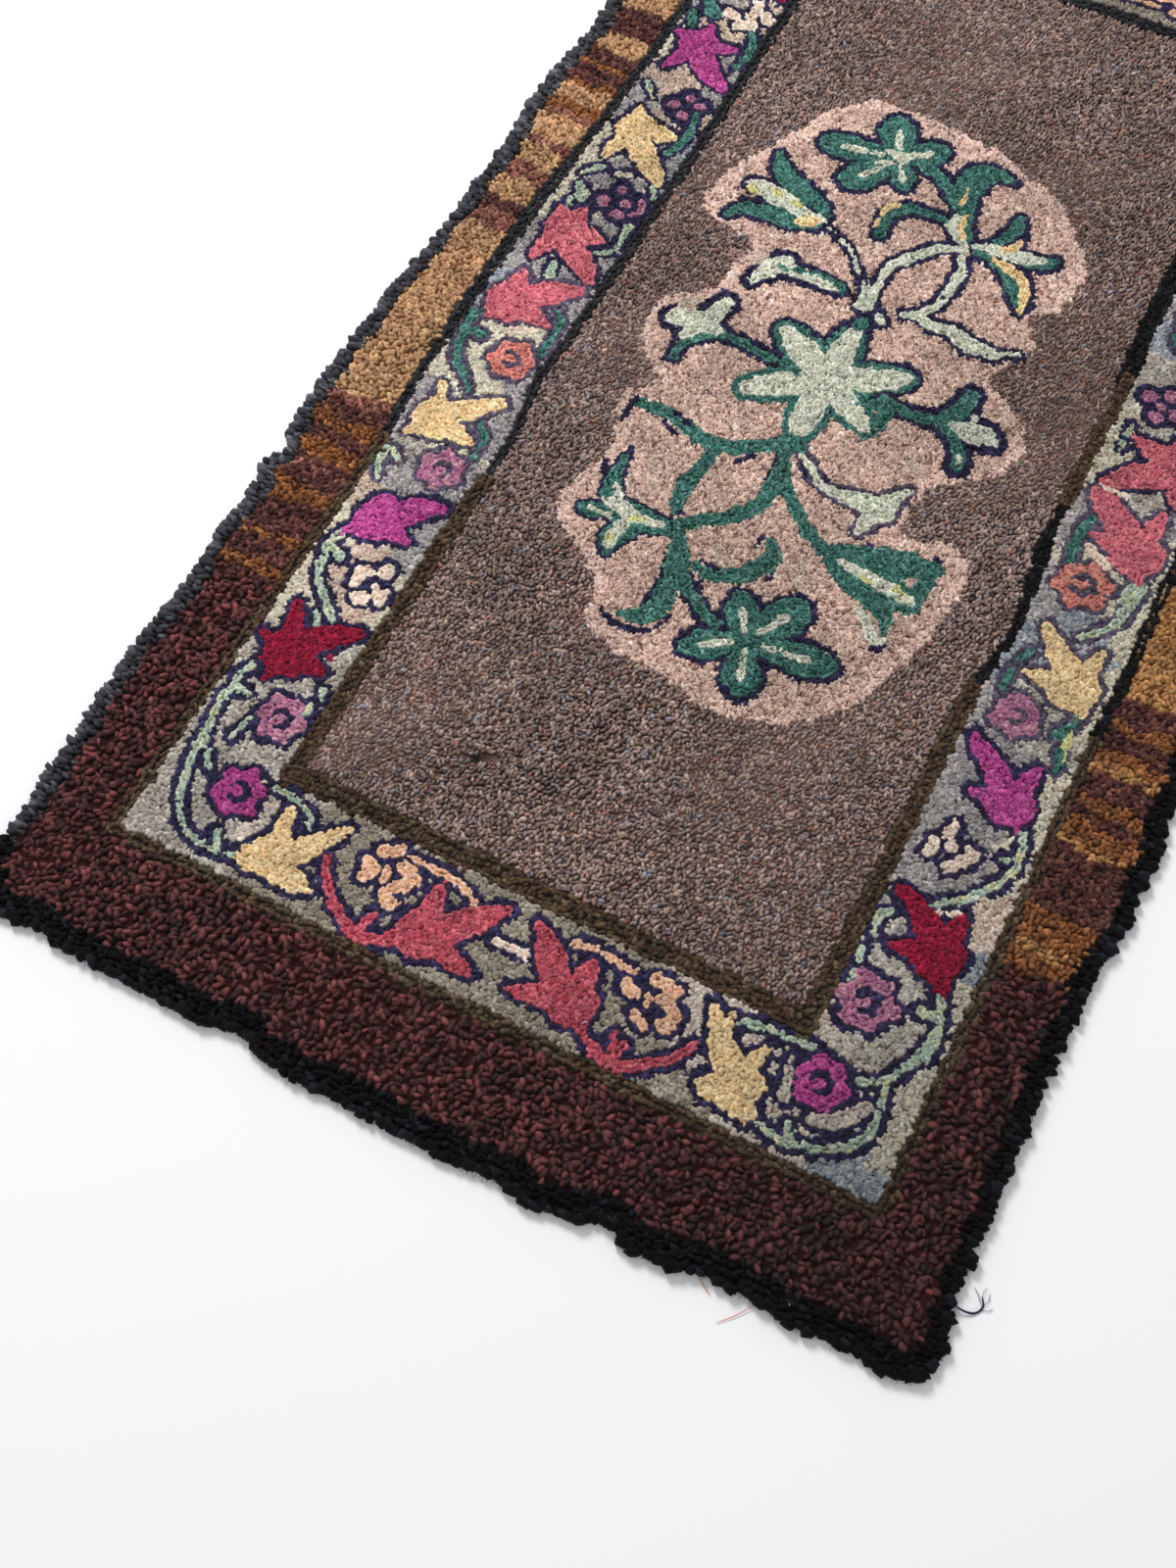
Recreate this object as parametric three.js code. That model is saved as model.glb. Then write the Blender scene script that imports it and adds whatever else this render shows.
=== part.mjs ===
import * as THREE from "three";

// A hooked rug lying flat. One cloth, hooked all over in loops, so it is one solid: its underside is the
// flat back of the backing cloth and its upper side is the tops of the loops. Millimetres, +Z up, the
// rug's length along Y, its centre over the origin.

// Driving dimensions of the whole rug
const rugWidth = 760;
const rugLength = 1416;
const cornerRadius = 26;
const innerCornerRadius = 14;

// Heights over the floor: the flat back, and the tops of the loops in each zone from the edge inwards
const backHeight = 0;
const edgeHeight = 9.9;
const seamHeight = 8.7;
const bandHeight = 9.8;
const ruleHeight = 8.4;
const borderHeight = 9.0;
const fieldHeight = 8.6;
const crown = 0.2;

// How far in from the outline each zone ends, from the long sides and from the two ends
const edgeInset = { side: 14, end: 20 };
const bandInset = { side: 72, end: 97 };
const borderInset = { side: 159, end: 188 };
// The dark rule that closes a zone on its inner side, and how far beside it the loops reach full height
const ruleWidth = 11;
const shoulder = 4;

// Steps of the mesh along the sides, each a whole number of coarse steps, and round a corner. The fine
// rings hold the ragged edge and the coarse ones the rest.
const fineAcross = 66;
const fineAlong = 126;
const finePerCorner = 3;
const finePerCoarse = 3;

// How far in from the edge the rug's unevenness of outline still moves the zones
const swayReach = 150;
// Half the length over which a step in the ragged edge rises
const stepSoftness = 5;

// How far each side strays outwards from a straight line, at stations along it from its middle
const sways = [
  { side: "left", station: -660, out: -4 },
  { side: "left", station: -600, out: -4 },
  { side: "left", station: -480, out: 1.5 },
  { side: "left", station: -400, out: -3.5 },
  { side: "left", station: -350, out: 0.5 },
  { side: "left", station: -310, out: -2.5 },
  { side: "left", station: -200, out: 5 },
  { side: "left", station: -90, out: 4 },
  { side: "left", station: 10, out: -4 },
  { side: "left", station: 100, out: -5.5 },
  { side: "left", station: 180, out: 0 },
  { side: "left", station: 290, out: -8 },
  { side: "left", station: 420, out: -2 },
  { side: "left", station: 640, out: -5 },
  { side: "right", station: -670, out: 6 },
  { side: "right", station: -600, out: -1.5 },
  { side: "right", station: -500, out: -2 },
  { side: "right", station: -400, out: -1 },
  { side: "right", station: -340, out: 6 },
  { side: "right", station: -210, out: 4 },
  { side: "right", station: -40, out: -2 },
  { side: "right", station: 130, out: 3 },
  { side: "right", station: 320, out: -3 },
  { side: "right", station: 480, out: 2 },
  { side: "right", station: 640, out: -3 },
  { side: "bottom", station: -340, out: 1 },
  { side: "bottom", station: -250, out: 2.5 },
  { side: "bottom", station: -60, out: 6 },
  { side: "bottom", station: 10, out: 8 },
  { side: "bottom", station: 90, out: 5 },
  { side: "bottom", station: 230, out: 0 },
  { side: "bottom", station: 350, out: -3 },
  { side: "top", station: -330, out: 2 },
  { side: "top", station: -150, out: -3 },
  { side: "top", station: 60, out: 4 },
  { side: "top", station: 220, out: -2 },
  { side: "top", station: 340, out: 1 },
];

// Where rows of edge loops are missing, or stand out as a tuft
const raggedSteps = [
  { side: "bottom", from: -322, to: -300, out: -4 },
  { side: "bottom", from: -160, to: -124, out: -7 },
  { side: "bottom", from: -96, to: -70, out: 2.5 },
  { side: "bottom", from: 92, to: 112, out: 4 },
  { side: "bottom", from: 140, to: 164, out: -7 },
  { side: "bottom", from: 164, to: 210, out: 1.5 },
  { side: "bottom", from: 212, to: 276, out: -4.5 },
  { side: "bottom", from: 300, to: 340, out: -2 },
  { side: "left", from: -292, to: -276, out: 6 },
  { side: "left", from: -272, to: -254, out: -6 },
  { side: "left", from: -610, to: -590, out: 2.5 },
  { side: "left", from: 52, to: 70, out: 2.5 },
  { side: "right", from: -668, to: -650, out: -4 },
  { side: "right", from: -646, to: -622, out: -3 },
  { side: "right", from: -296, to: -270, out: 3.5 },
  { side: "right", from: 60, to: 84, out: -3.5 },
  { side: "right", from: 380, to: 402, out: 3 },
  { side: "top", from: -210, to: -180, out: -5 },
  { side: "top", from: 100, to: 128, out: 4.5 },
  { side: "top", from: 180, to: 204, out: -4 },
];

// Slow swells of the upper side, each a wave of its own length, direction and height
const swells = [
  { lengthX: 390, lengthY: 510, phase: 0.8, height: 0.35 },
  { lengthX: -250, lengthY: 330, phase: 2.1, height: 0.3 },
  { lengthX: 170, lengthY: -210, phase: 4.0, height: 0.2 },
];

// A ring's inset from the outline, at a share of the way from one zone's end to the next
function insetBetween(from, to, share) {
  return {
    side: from.side + (to.side - from.side) * share,
    end: from.end + (to.end - from.end) * share,
  };
}

// A ring's inset at a distance short of a zone's end, or past it where the distance is negative
function shortOf(zoneEnd, distance) {
  return { side: zoneEnd.side - distance, end: zoneEnd.end - distance };
}

function evenInset(inset) {
  return { side: inset, end: inset };
}

// Rings from the back's rim, round the edge and in over the zones
const fineRings = [
  { inset: evenInset(1.6), height: backHeight },
  { inset: evenInset(0), height: 0.36 * edgeHeight },
  { inset: evenInset(0.9), height: 0.74 * edgeHeight },
  { inset: evenInset(4.2), height: 0.97 * edgeHeight },
  { inset: insetBetween(evenInset(0), edgeInset, 0.6), height: edgeHeight },
  { inset: edgeInset, height: seamHeight },
];
const coarseRings = [
  { inset: insetBetween(edgeInset, bandInset, 0.15), height: bandHeight },
  { inset: insetBetween(edgeInset, bandInset, 0.5), height: bandHeight + crown },
  { inset: shortOf(bandInset, ruleWidth + shoulder), height: bandHeight },
  { inset: shortOf(bandInset, ruleWidth / 2), height: ruleHeight },
  { inset: shortOf(bandInset, -shoulder), height: borderHeight },
  { inset: insetBetween(bandInset, borderInset, 0.5), height: borderHeight + crown },
  { inset: shortOf(borderInset, ruleWidth + shoulder), height: borderHeight },
  { inset: shortOf(borderInset, ruleWidth / 2), height: ruleHeight },
  { inset: shortOf(borderInset, -shoulder), height: fieldHeight },
];

// The sides in order anticlockwise, with their steps of the mesh and their two directions in the plane
const sides = [
  { name: "bottom", steps: fineAcross, along: [1, 0], out: [0, -1] },
  { name: "right", steps: fineAlong, along: [0, 1], out: [1, 0] },
  { name: "top", steps: fineAcross, along: [-1, 0], out: [0, 1] },
  { name: "left", steps: fineAlong, along: [0, -1], out: [-1, 0] },
];

function smooth(share) {
  const held = Math.min(Math.max(share, 0), 1);
  return held * held * (3 - 2 * held);
}

// How far a side strays outwards at a station along it
function strayAt(side, station) {
  const rows = sways.filter((row) => row.side === side);
  const last = rows.length - 1;
  let stray = station <= rows[0].station ? rows[0].out : rows[last].out;
  for (let i = 0; i < last; i++) {
    const here = rows[i];
    const next = rows[i + 1];
    if (station >= here.station && station < next.station) {
      const share = (station - here.station) / (next.station - here.station);
      stray = here.out + (next.out - here.out) * smooth(share);
    }
  }
  for (const step of raggedSteps.filter((row) => row.side === side)) {
    const rise = smooth((station - step.from + stepSoftness) / (2 * stepSoftness));
    const fall = smooth((step.to + stepSoftness - station) / (2 * stepSoftness));
    stray += step.out * rise * fall;
  }
  return stray;
}

function swellAt(x, y) {
  let rise = 0;
  for (const wave of swells) {
    const turns = x / wave.lengthX + y / wave.lengthY;
    rise += wave.height * Math.sin(2 * Math.PI * turns + wave.phase);
  }
  return rise;
}

// The stations round the rug, anticlockwise from the start of the bottom side. Each has the side that it
// is on, its share along the straight stretch, and its turn round the corner that ends that side.
function stationsRound() {
  const stations = [];
  sides.forEach((side, order) => {
    for (let i = 0; i < side.steps; i++) {
      stations.push({ order, share: i / side.steps, turn: 0 });
    }
    for (let i = 0; i < finePerCorner; i++) {
      stations.push({ order, share: 1, turn: i / finePerCorner });
    }
  });
  return stations;
}

// The point of a station on the ring at an inset from the outline, before the rug is centred
function ringPoint(station, inset) {
  const { along, out } = sides[station.order];
  const next = sides[(station.order + 1) % sides.length];
  const halfWidth = rugWidth / 2 - inset.side;
  const halfLength = rugLength / 2 - inset.end;
  const [halfRun, halfDepth] = out[0] === 0 ? [halfWidth, halfLength] : [halfLength, halfWidth];
  const radius = Math.max(cornerRadius - inset.side, innerCornerRadius);
  const angle = (station.turn * Math.PI) / 2;
  const forward = (halfRun - radius) * (2 * station.share - 1) + radius * Math.sin(angle);
  const depth = halfDepth - radius + radius * Math.cos(angle);
  const x = along[0] * forward + out[0] * depth;
  const y = along[1] * forward + out[1] * depth;
  const lean = [0, 1].map((axis) => out[axis] * Math.cos(angle) + next.out[axis] * Math.sin(angle));
  const fade = 1 - smooth(inset.side / swayReach);
  const strayX = fade * strayAt(x < 0 ? "left" : "right", y);
  const strayY = fade * strayAt(y < 0 ? "bottom" : "top", x);
  return [x + lean[0] * Math.abs(lean[0]) * strayX, y + lean[1] * Math.abs(lean[1]) * strayY];
}

function middle(values) {
  return (Math.min(...values) + Math.max(...values)) / 2;
}

function buildRug() {
  const stations = stationsRound();
  const coarse = stations.filter((station, i) => i % finePerCoarse === 0);
  const outline = stations.map((station) => ringPoint(station, evenInset(0)));
  const centre = [middle(outline.map((point) => point[0])), middle(outline.map((point) => point[1]))];
  const positions = [];
  const triangles = [];

  function addRing(members, ring) {
    const first = positions.length / 3;
    for (const station of members) {
      const [x, y] = ringPoint(station, ring.inset);
      const inland = (ring.inset.side - edgeInset.side) / (bandInset.side - edgeInset.side);
      const swell = swellAt(x, y) * smooth(inland);
      positions.push(x - centre[0], y - centre[1], ring.height + swell);
    }
    return { first, count: members.length };
  }

  function joinEvenly(outer, inner) {
    for (let i = 0; i < outer.count; i++) {
      const j = (i + 1) % outer.count;
      triangles.push(outer.first + i, outer.first + j, inner.first + j);
      triangles.push(outer.first + i, inner.first + j, inner.first + i);
    }
  }

  // Each coarse step fans out to its fine ones: the first of them from its own start, the rest from its end
  function joinFineToCoarse(outer, inner) {
    for (let i = 0; i < inner.count; i++) {
      const here = inner.first + i;
      const next = inner.first + ((i + 1) % inner.count);
      const fine = (k) => outer.first + ((finePerCoarse * i + k) % outer.count);
      triangles.push(fine(0), fine(1), here);
      triangles.push(fine(1), next, here);
      for (let k = 1; k < finePerCoarse; k++) {
        triangles.push(fine(k), fine(k + 1), next);
      }
    }
  }

  // The flat back inside its rim
  function closeBack(ring) {
    const points = [];
    for (let i = 0; i < ring.count; i++) {
      const at = 3 * (ring.first + i);
      points.push(new THREE.Vector2(positions[at], positions[at + 1]));
    }
    for (const [a, b, c] of THREE.ShapeUtils.triangulateShape(points, [])) {
      const facesUp = points[b].clone().sub(points[a]).cross(points[c].clone().sub(points[a])) > 0;
      const corners = facesUp ? [a, c, b] : [a, b, c];
      triangles.push(...corners.map((corner) => ring.first + corner));
    }
  }

  // The field inside the last ring, as a grid whose columns and rows end at the ring's own points
  function fillField(ring) {
    const across = fineAcross / finePerCoarse;
    const along = fineAlong / finePerCoarse;
    const corners = {
      bottom: ring.first,
      right: ring.first + across + 1,
      top: ring.first + across + along + 2,
      left: ring.first + 2 * across + along + 3,
    };
    const onBottom = (column) => corners.bottom + column;
    const onTop = (column) => corners.top + across - column;
    const onRight = (row) => corners.right + row;
    const onLeft = (row) => corners.left + along - row;
    const first = positions.length / 3;
    const inField = (column, row) => first + row * (across + 1) + column;
    for (let row = 0; row <= along; row++) {
      for (let column = 0; column <= across; column++) {
        const x = positions[3 * onBottom(column)];
        const y = positions[3 * onRight(row) + 1];
        positions.push(x, y, fieldHeight + crown + swellAt(x, y));
      }
    }
    const quad = (a, b, c, d) => triangles.push(a, b, c, a, c, d);
    for (let column = 0; column < across; column++) {
      quad(onBottom(column), onBottom(column + 1), inField(column + 1, 0), inField(column, 0));
      quad(inField(column, along), inField(column + 1, along), onTop(column + 1), onTop(column));
      for (let row = 0; row < along; row++) {
        quad(
          inField(column, row),
          inField(column + 1, row),
          inField(column + 1, row + 1),
          inField(column, row + 1),
        );
      }
    }
    for (let row = 0; row < along; row++) {
      quad(onLeft(row), inField(0, row), inField(0, row + 1), onLeft(row + 1));
      quad(inField(across, row), onRight(row), onRight(row + 1), inField(across, row + 1));
    }
    triangles.push(onBottom(0), inField(0, 0), onLeft(0));
    triangles.push(onBottom(across), onRight(0), inField(across, 0));
    triangles.push(inField(across, along), onRight(along), onTop(across));
    triangles.push(inField(0, along), onTop(0), onLeft(along));
  }

  const fine = fineRings.map((ring) => addRing(stations, ring));
  const inner = coarseRings.map((ring) => addRing(coarse, ring));
  closeBack(fine[0]);
  fine.slice(1).forEach((ring, i) => joinEvenly(fine[i], ring));
  joinFineToCoarse(fine[fine.length - 1], inner[0]);
  inner.slice(1).forEach((ring, i) => joinEvenly(inner[i], ring));
  fillField(inner[inner.length - 1]);

  const geometry = new THREE.BufferGeometry();
  geometry.setAttribute("position", new THREE.Float32BufferAttribute(positions, 3));
  geometry.setIndex(triangles);
  geometry.computeVertexNormals();
  return geometry;
}

const wool = new THREE.MeshStandardMaterial({ color: 0x6b5a54, roughness: 0.95, metalness: 0 });
const hookedRug = new THREE.Mesh(buildRug(), wool);
hookedRug.name = "hooked_rug";

const rug = new THREE.Group();
rug.add(hookedRug);

export default rug;
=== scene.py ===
"""Dresses the hooked rug: its backing cloth, its wool loops zone by zone, and the loose ends at its edge.

The pattern's tables are in millimetres on the rug's own plan: +X across, +Y along, and the middle where the
border lines cross. A stroke's knots are x, y and width. Meshes are in metres, in the part's frame, with its
origin in the middle of the outline.
"""

import logging
import math
from dataclasses import dataclass, field
from enum import Enum

import bpy
import numpy as np
from mathutils import Matrix, Vector


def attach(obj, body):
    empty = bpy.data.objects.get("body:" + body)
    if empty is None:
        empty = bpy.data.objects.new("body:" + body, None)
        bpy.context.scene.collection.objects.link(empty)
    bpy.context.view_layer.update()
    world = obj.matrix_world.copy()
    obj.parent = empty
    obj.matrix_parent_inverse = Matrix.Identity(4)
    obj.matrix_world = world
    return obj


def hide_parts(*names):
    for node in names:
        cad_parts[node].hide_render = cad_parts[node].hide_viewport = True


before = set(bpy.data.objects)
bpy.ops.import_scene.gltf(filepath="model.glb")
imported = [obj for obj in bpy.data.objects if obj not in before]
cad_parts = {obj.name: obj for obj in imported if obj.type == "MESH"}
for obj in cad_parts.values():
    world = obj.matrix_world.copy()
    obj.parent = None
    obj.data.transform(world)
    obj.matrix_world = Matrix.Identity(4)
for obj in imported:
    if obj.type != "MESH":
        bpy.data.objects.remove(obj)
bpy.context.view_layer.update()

MM = 0.001
SEED = 20260
RUG_NODE = "hooked_rug"
BODY = "root"
YARN_COLOUR = "yarn_colour"
BAKE_MAP = "OFBake"
TINY = 1e-9
DOT = 0.1

log = logging.getLogger("rug")


class Side(Enum):
    """The rug's four sides, each by the way it faces on the plan."""

    LEFT = (-1, 0)
    RIGHT = (1, 0)
    BOTTOM = (0, -1)
    TOP = (0, 1)


class Zone(Enum):
    """The parts of the rug that are hooked in loops of a size of their own."""

    EDGE = 0
    BAND = 1
    RULE = 2
    BORDER = 3
    MEDALLION = 4
    FIELD = 5
    STRIPE = 6


@dataclass(frozen=True)
class Dye:
    """The shades that a wool runs through, as sRGB from 0 to 255.

    Attributes:
        shades: the usual shades, each as likely as the next.
        flecks: rarer shades that show as single loops.
        fleck_share: the share of loops that are flecks.
        spread: how far one loop's lightness strays from its shade.
    """

    shades: tuple[tuple[int, int, int], ...]
    flecks: tuple[tuple[int, int, int], ...] = ()
    fleck_share: float = 0.0
    spread: float = 0.1


class Wool(Enum):
    """The dyed wools of the rug."""

    BLACK = Dye(((14, 14, 17), (8, 8, 10), (30, 31, 38)), spread=0.16)
    CHARCOAL = Dye(((46, 46, 51), (38, 38, 43), (56, 56, 61)), spread=0.12)
    # Black with a painted sheen: the edge's black, greyed where it faces the lamp and catches the light.
    GREYED_BLACK = Dye(((72, 72, 78), (58, 58, 64), (86, 86, 92)), spread=0.12)
    MAROON = Dye(((100, 50, 50), (75, 35, 35), (115, 60, 60), (90, 45, 45)), spread=0.18)
    PLUM = Dye(((95, 60, 50), (80, 45, 45), (110, 70, 60), (90, 50, 50)), spread=0.14)
    OLIVE = Dye(((95, 75, 55), (80, 60, 45), (100, 85, 65)), spread=0.12)
    GOLD = Dye(((190, 145, 110), (175, 135, 100), (200, 160, 120), (165, 130, 95)), spread=0.06)
    OCHRE = Dye(((180, 135, 85), (170, 120, 75), (195, 145, 95), (150, 110, 70)), spread=0.08)
    RUST = Dye(((140, 90, 55), (130, 80, 45), (160, 105, 65)), spread=0.12)
    HEATHER = Dye(((140, 90, 80), (155, 105, 90), (120, 75, 65)), spread=0.12)
    TAUPE = Dye(
        ((170, 145, 135), (155, 130, 125), (180, 155, 145), (145, 120, 110), (165, 145, 140)),
        flecks=((155, 150, 160), (175, 125, 110), (110, 95, 100), (195, 170, 155)),
        fleck_share=0.12,
        spread=0.1,
    )
    BLUSH = Dye(
        ((215, 185, 170), (205, 175, 160), (225, 195, 180), (195, 165, 150)),
        flecks=((175, 140, 130), (240, 220, 205), (155, 120, 115)),
        fleck_share=0.16,
        spread=0.055,
    )
    PALE_BLUSH = Dye(
        ((230, 200, 185), (220, 190, 175), (240, 210, 200)),
        flecks=((185, 150, 140), (165, 130, 125)),
        fleck_share=0.08,
        spread=0.055,
    )
    SAND = Dye(((215, 195, 180), (205, 180, 165)), spread=0.08)
    TEAL = Dye(((80, 125, 115), (60, 110, 100), (95, 140, 130)), spread=0.12)
    SAGE = Dye(((215, 215, 195), (205, 205, 185), (225, 225, 210), (190, 200, 180)), spread=0.06)
    LEMON = Dye(((220, 215, 150), (210, 205, 140)), spread=0.06)
    NAVY = Dye(((50, 45, 75), (40, 35, 65), (60, 55, 90)), spread=0.12)
    SLATE = Dye(((90, 85, 105), (80, 70, 90), (105, 95, 110)), spread=0.1)
    YELLOW = Dye(((235, 210, 160), (230, 195, 145), (245, 220, 175)), spread=0.06)
    ROSE = Dye(((190, 90, 105), (180, 75, 90), (200, 105, 115)), spread=0.08)
    CORAL_ROSE = Dye(((205, 115, 125), (195, 100, 115), (215, 130, 135)), spread=0.07)
    MAGENTA = Dye(((190, 80, 150), (175, 65, 135), (200, 95, 160)), spread=0.07)
    CRIMSON = Dye(((150, 25, 55), (135, 20, 50), (160, 35, 65)), spread=0.08)
    MAUVE = Dye(((180, 120, 145), (165, 105, 135), (190, 140, 155)), spread=0.08)
    CORAL = Dye(((215, 135, 120), (200, 120, 110), (220, 150, 135)), spread=0.07)
    PEACH = Dye(((235, 190, 160), (230, 180, 145), (240, 200, 170)), spread=0.05)
    CREAM = Dye(((240, 220, 200), (230, 205, 185), (240, 225, 210)), spread=0.05)
    MINT = Dye(((175, 190, 175), (160, 180, 160), (190, 200, 180), (205, 200, 160)), spread=0.07)
    STONE = Dye(((180, 175, 160), (170, 160, 150), (195, 190, 180)), spread=0.08)
    MOSS = Dye(((160, 150, 135), (145, 135, 120), (170, 160, 145)), spread=0.08)
    GREY = Dye(((165, 160, 155), (150, 145, 145), (180, 170, 170)), spread=0.08)
    DUSK = Dye(((160, 165, 170), (145, 150, 160), (175, 175, 175)), spread=0.08)
    LILAC_GREY = Dye(((205, 190, 175), (190, 175, 165), (215, 205, 190)), spread=0.07)
    BEAD = Dye(((210, 200, 180), (195, 185, 165), (215, 210, 190)), spread=0.06)
    TAN = Dye(((205, 185, 165), (190, 165, 150), (210, 195, 180)), spread=0.07)


WOOLS = tuple(Wool)
WOOL_NUMBER = {wool: number for number, wool in enumerate(WOOLS)}

Knot = tuple[float, float, float]
Stroke = tuple[Knot, ...]


def smooth(share: np.ndarray) -> np.ndarray:
    """Returns an even rise from 0 to 1 with soft ends."""
    held = np.clip(share, 0, 1)
    return held * held * (3 - 2 * held)


def linear_colour(shades: np.ndarray) -> np.ndarray:
    """Returns sRGB shades from 0 to 255 as linear light."""
    share = np.clip(shades / 255, 0, 1)
    return np.where(share <= 0.04045, share / 12.92, ((share + 0.055) / 1.055) ** 2.4)


@dataclass(frozen=True)
class Bend:
    """A place where a side strays outwards from a straight line, at a station along it."""

    side: Side
    station: float
    out: float


@dataclass(frozen=True)
class Notch:
    """A stretch of a side where edge loops are missing, or stand out as a tuft."""

    side: Side
    start: float
    end: float
    out: float


def bends_of(side: Side, *places: tuple[float, float]) -> tuple[Bend, ...]:
    """Returns a side's bends, each from its station and how far out it is."""
    return tuple(Bend(side, *place) for place in places)


def notches_of(side: Side, *places: tuple[float, float, float]) -> tuple[Notch, ...]:
    """Returns a side's notches and tufts, each from its start, its end and how far out it is."""
    return tuple(Notch(side, *place) for place in places)


@dataclass
class Outline:
    """The rug's uneven outline, as the solid has it.

    Attributes:
        width: its usual width.
        length: its usual length.
        corner: the radius of its corners.
        softness: how far a notch takes to reach its full depth.
        bends: the places where its sides bend.
        notches: its notches and tufts.
    """

    width: float = 760
    length: float = 1416
    corner: float = 26
    softness: float = 5
    bends: tuple[Bend, ...] = (
        *bends_of(Side.LEFT, (-660, -4), (-600, -4), (-480, 1.5), (-400, -3.5), (-350, 0.5), (-310, -2.5),
            (-200, 5), (-90, 4), (10, -4), (100, -5.5), (180, 0), (290, -8), (420, -2), (640, -5)),
        *bends_of(Side.RIGHT, (-670, 6), (-600, -1.5), (-500, -2), (-400, -1), (-340, 6), (-210, 4),
            (-40, -2), (130, 3), (320, -3), (480, 2), (640, -3)),
        *bends_of(Side.BOTTOM, (-340, 1), (-250, 2.5), (-60, 6), (10, 8), (90, 5), (230, 0), (350, -3)),
        *bends_of(Side.TOP, (-330, 2), (-150, -3), (60, 4), (220, -2), (340, 1)),
    )
    notches: tuple[Notch, ...] = (
        *notches_of(Side.BOTTOM, (-322, -300, -4), (-160, -124, -7), (-96, -70, 2.5), (92, 112, 4),
            (140, 164, -7), (164, 210, 1.5), (212, 276, -4.5), (300, 340, -2)),
        *notches_of(Side.LEFT, (-292, -276, 6), (-272, -254, -6), (-610, -590, 2.5), (52, 70, 2.5)),
        *notches_of(Side.RIGHT, (-668, -650, -4), (-646, -622, -3), (-296, -270, 3.5), (60, 84, -3.5),
            (380, 402, 3)),
        *notches_of(Side.TOP, (-210, -180, -5), (100, 128, 4.5), (180, 204, -4)),
    )

    def stray(self, side: Side, station: np.ndarray) -> np.ndarray:
        """Works out how far a side strays outwards.

        Args:
            side: the side.
            station: places along it.

        Returns:
            The stray at each place, outwards positive.
        """
        rows = [bend for bend in self.bends if bend.side is side]
        places = np.array([bend.station for bend in rows])
        outs = np.array([bend.out for bend in rows])
        held = np.clip(station, places[0], places[-1])
        after = np.clip(np.searchsorted(places, held), 1, len(rows) - 1)
        share = (held - places[after - 1]) / (places[after] - places[after - 1])
        total = outs[after - 1] + (outs[after] - outs[after - 1]) * smooth(share)
        for notch in self.notches:
            if notch.side is side:
                rise = smooth((station - notch.start + self.softness) / (2 * self.softness))
                fall = smooth((notch.end + self.softness - station) / (2 * self.softness))
                total = total + notch.out * rise * fall
        return total

    def margins(self, x: np.ndarray, y: np.ndarray) -> dict[Side, np.ndarray]:
        """Works out how far inside each side places are.

        Args:
            x: the places' x.
            y: the places' y.

        Returns:
            The depth inside each side.
        """
        return {
            Side.LEFT: self.width / 2 + self.stray(Side.LEFT, y) + x,
            Side.RIGHT: self.width / 2 + self.stray(Side.RIGHT, y) - x,
            Side.BOTTOM: self.length / 2 + self.stray(Side.BOTTOM, x) + y,
            Side.TOP: self.length / 2 + self.stray(Side.TOP, x) - y,
        }

    def depth(self, x: np.ndarray, y: np.ndarray) -> np.ndarray:
        """Works out how far inside the outline places are, round its corners too.

        Args:
            x: the places' x.
            y: the places' y.

        Returns:
            The depth at each place, negative outside.
        """
        margins = self.margins(x, y)
        across = np.minimum(margins[Side.LEFT], margins[Side.RIGHT])
        along = np.minimum(margins[Side.BOTTOM], margins[Side.TOP])
        reach_x = np.clip(self.corner - across, 0, None)
        reach_y = np.clip(self.corner - along, 0, None)
        in_corner = (reach_x > 0) & (reach_y > 0)
        return np.where(in_corner, self.corner - np.hypot(reach_x, reach_y), np.minimum(across, along))

    def centre(self) -> tuple[float, float]:
        """Finds the middle of the outline's own box, where the part's frame has its origin.

        Returns:
            Its x and y on the plan.
        """
        straight_x = np.arange(-self.width / 2 + self.corner, self.width / 2 - self.corner)
        straight_y = np.arange(-self.length / 2 + self.corner, self.length / 2 - self.corner)
        reach = {
            Side.LEFT: self.stray(Side.LEFT, straight_y).max(),
            Side.RIGHT: self.stray(Side.RIGHT, straight_y).max(),
            Side.BOTTOM: self.stray(Side.BOTTOM, straight_x).max(),
            Side.TOP: self.stray(Side.TOP, straight_x).max(),
        }
        return (reach[Side.RIGHT] - reach[Side.LEFT]) / 2, (reach[Side.TOP] - reach[Side.BOTTOM]) / 2


@dataclass(frozen=True)
class Swell:
    """A slow wave of the rug's upper side."""

    length_x: float
    length_y: float
    phase: float
    height: float


SWELLS = (
    Swell(390, 510, 0.8, 0.35),
    Swell(-250, 330, 2.1, 0.3),
    Swell(170, -210, 4.0, 0.2),
)


def swell_at(x: np.ndarray, y: np.ndarray) -> np.ndarray:
    """Returns how far the upper side rises over its usual height at x and y."""
    turns = [(x / wave.length_x + y / wave.length_y, wave) for wave in SWELLS]
    return sum(wave.height * np.sin(2 * math.pi * turn + wave.phase) for turn, wave in turns)


def curve_through(knots: np.ndarray, step: float, closed: bool = False) -> np.ndarray:
    """Draws a smooth curve through knots.

    Args:
        knots: the knots, a row each, of any number of columns, the first two x and y.
        step: about how far apart the curve's points are.
        closed: whether the curve goes on from its last knot to its first.

    Returns:
        The curve's points, with all the knots' columns.
    """
    count = len(knots)
    spans = count if closed else count - 1
    points = []
    for i in range(spans):
        if closed:
            before, here, there, after = (knots[(i + k) % count] for k in (-1, 0, 1, 2))
        else:
            before, here = knots[max(i - 1, 0)], knots[i]
            there, after = knots[i + 1], knots[min(i + 2, count - 1)]
        pieces = max(1, round(math.dist(here[:2], there[:2]) / step))
        for t in np.arange(pieces) / pieces:
            turn = (there - before) * t + (2 * before - 5 * here + 4 * there - after) * t**2
            turn = turn + (3 * here - before - 3 * there + after) * t**3
            points.append(here + turn / 2)
    if not closed:
        points.append(knots[-1])
    return np.array(points)


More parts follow.
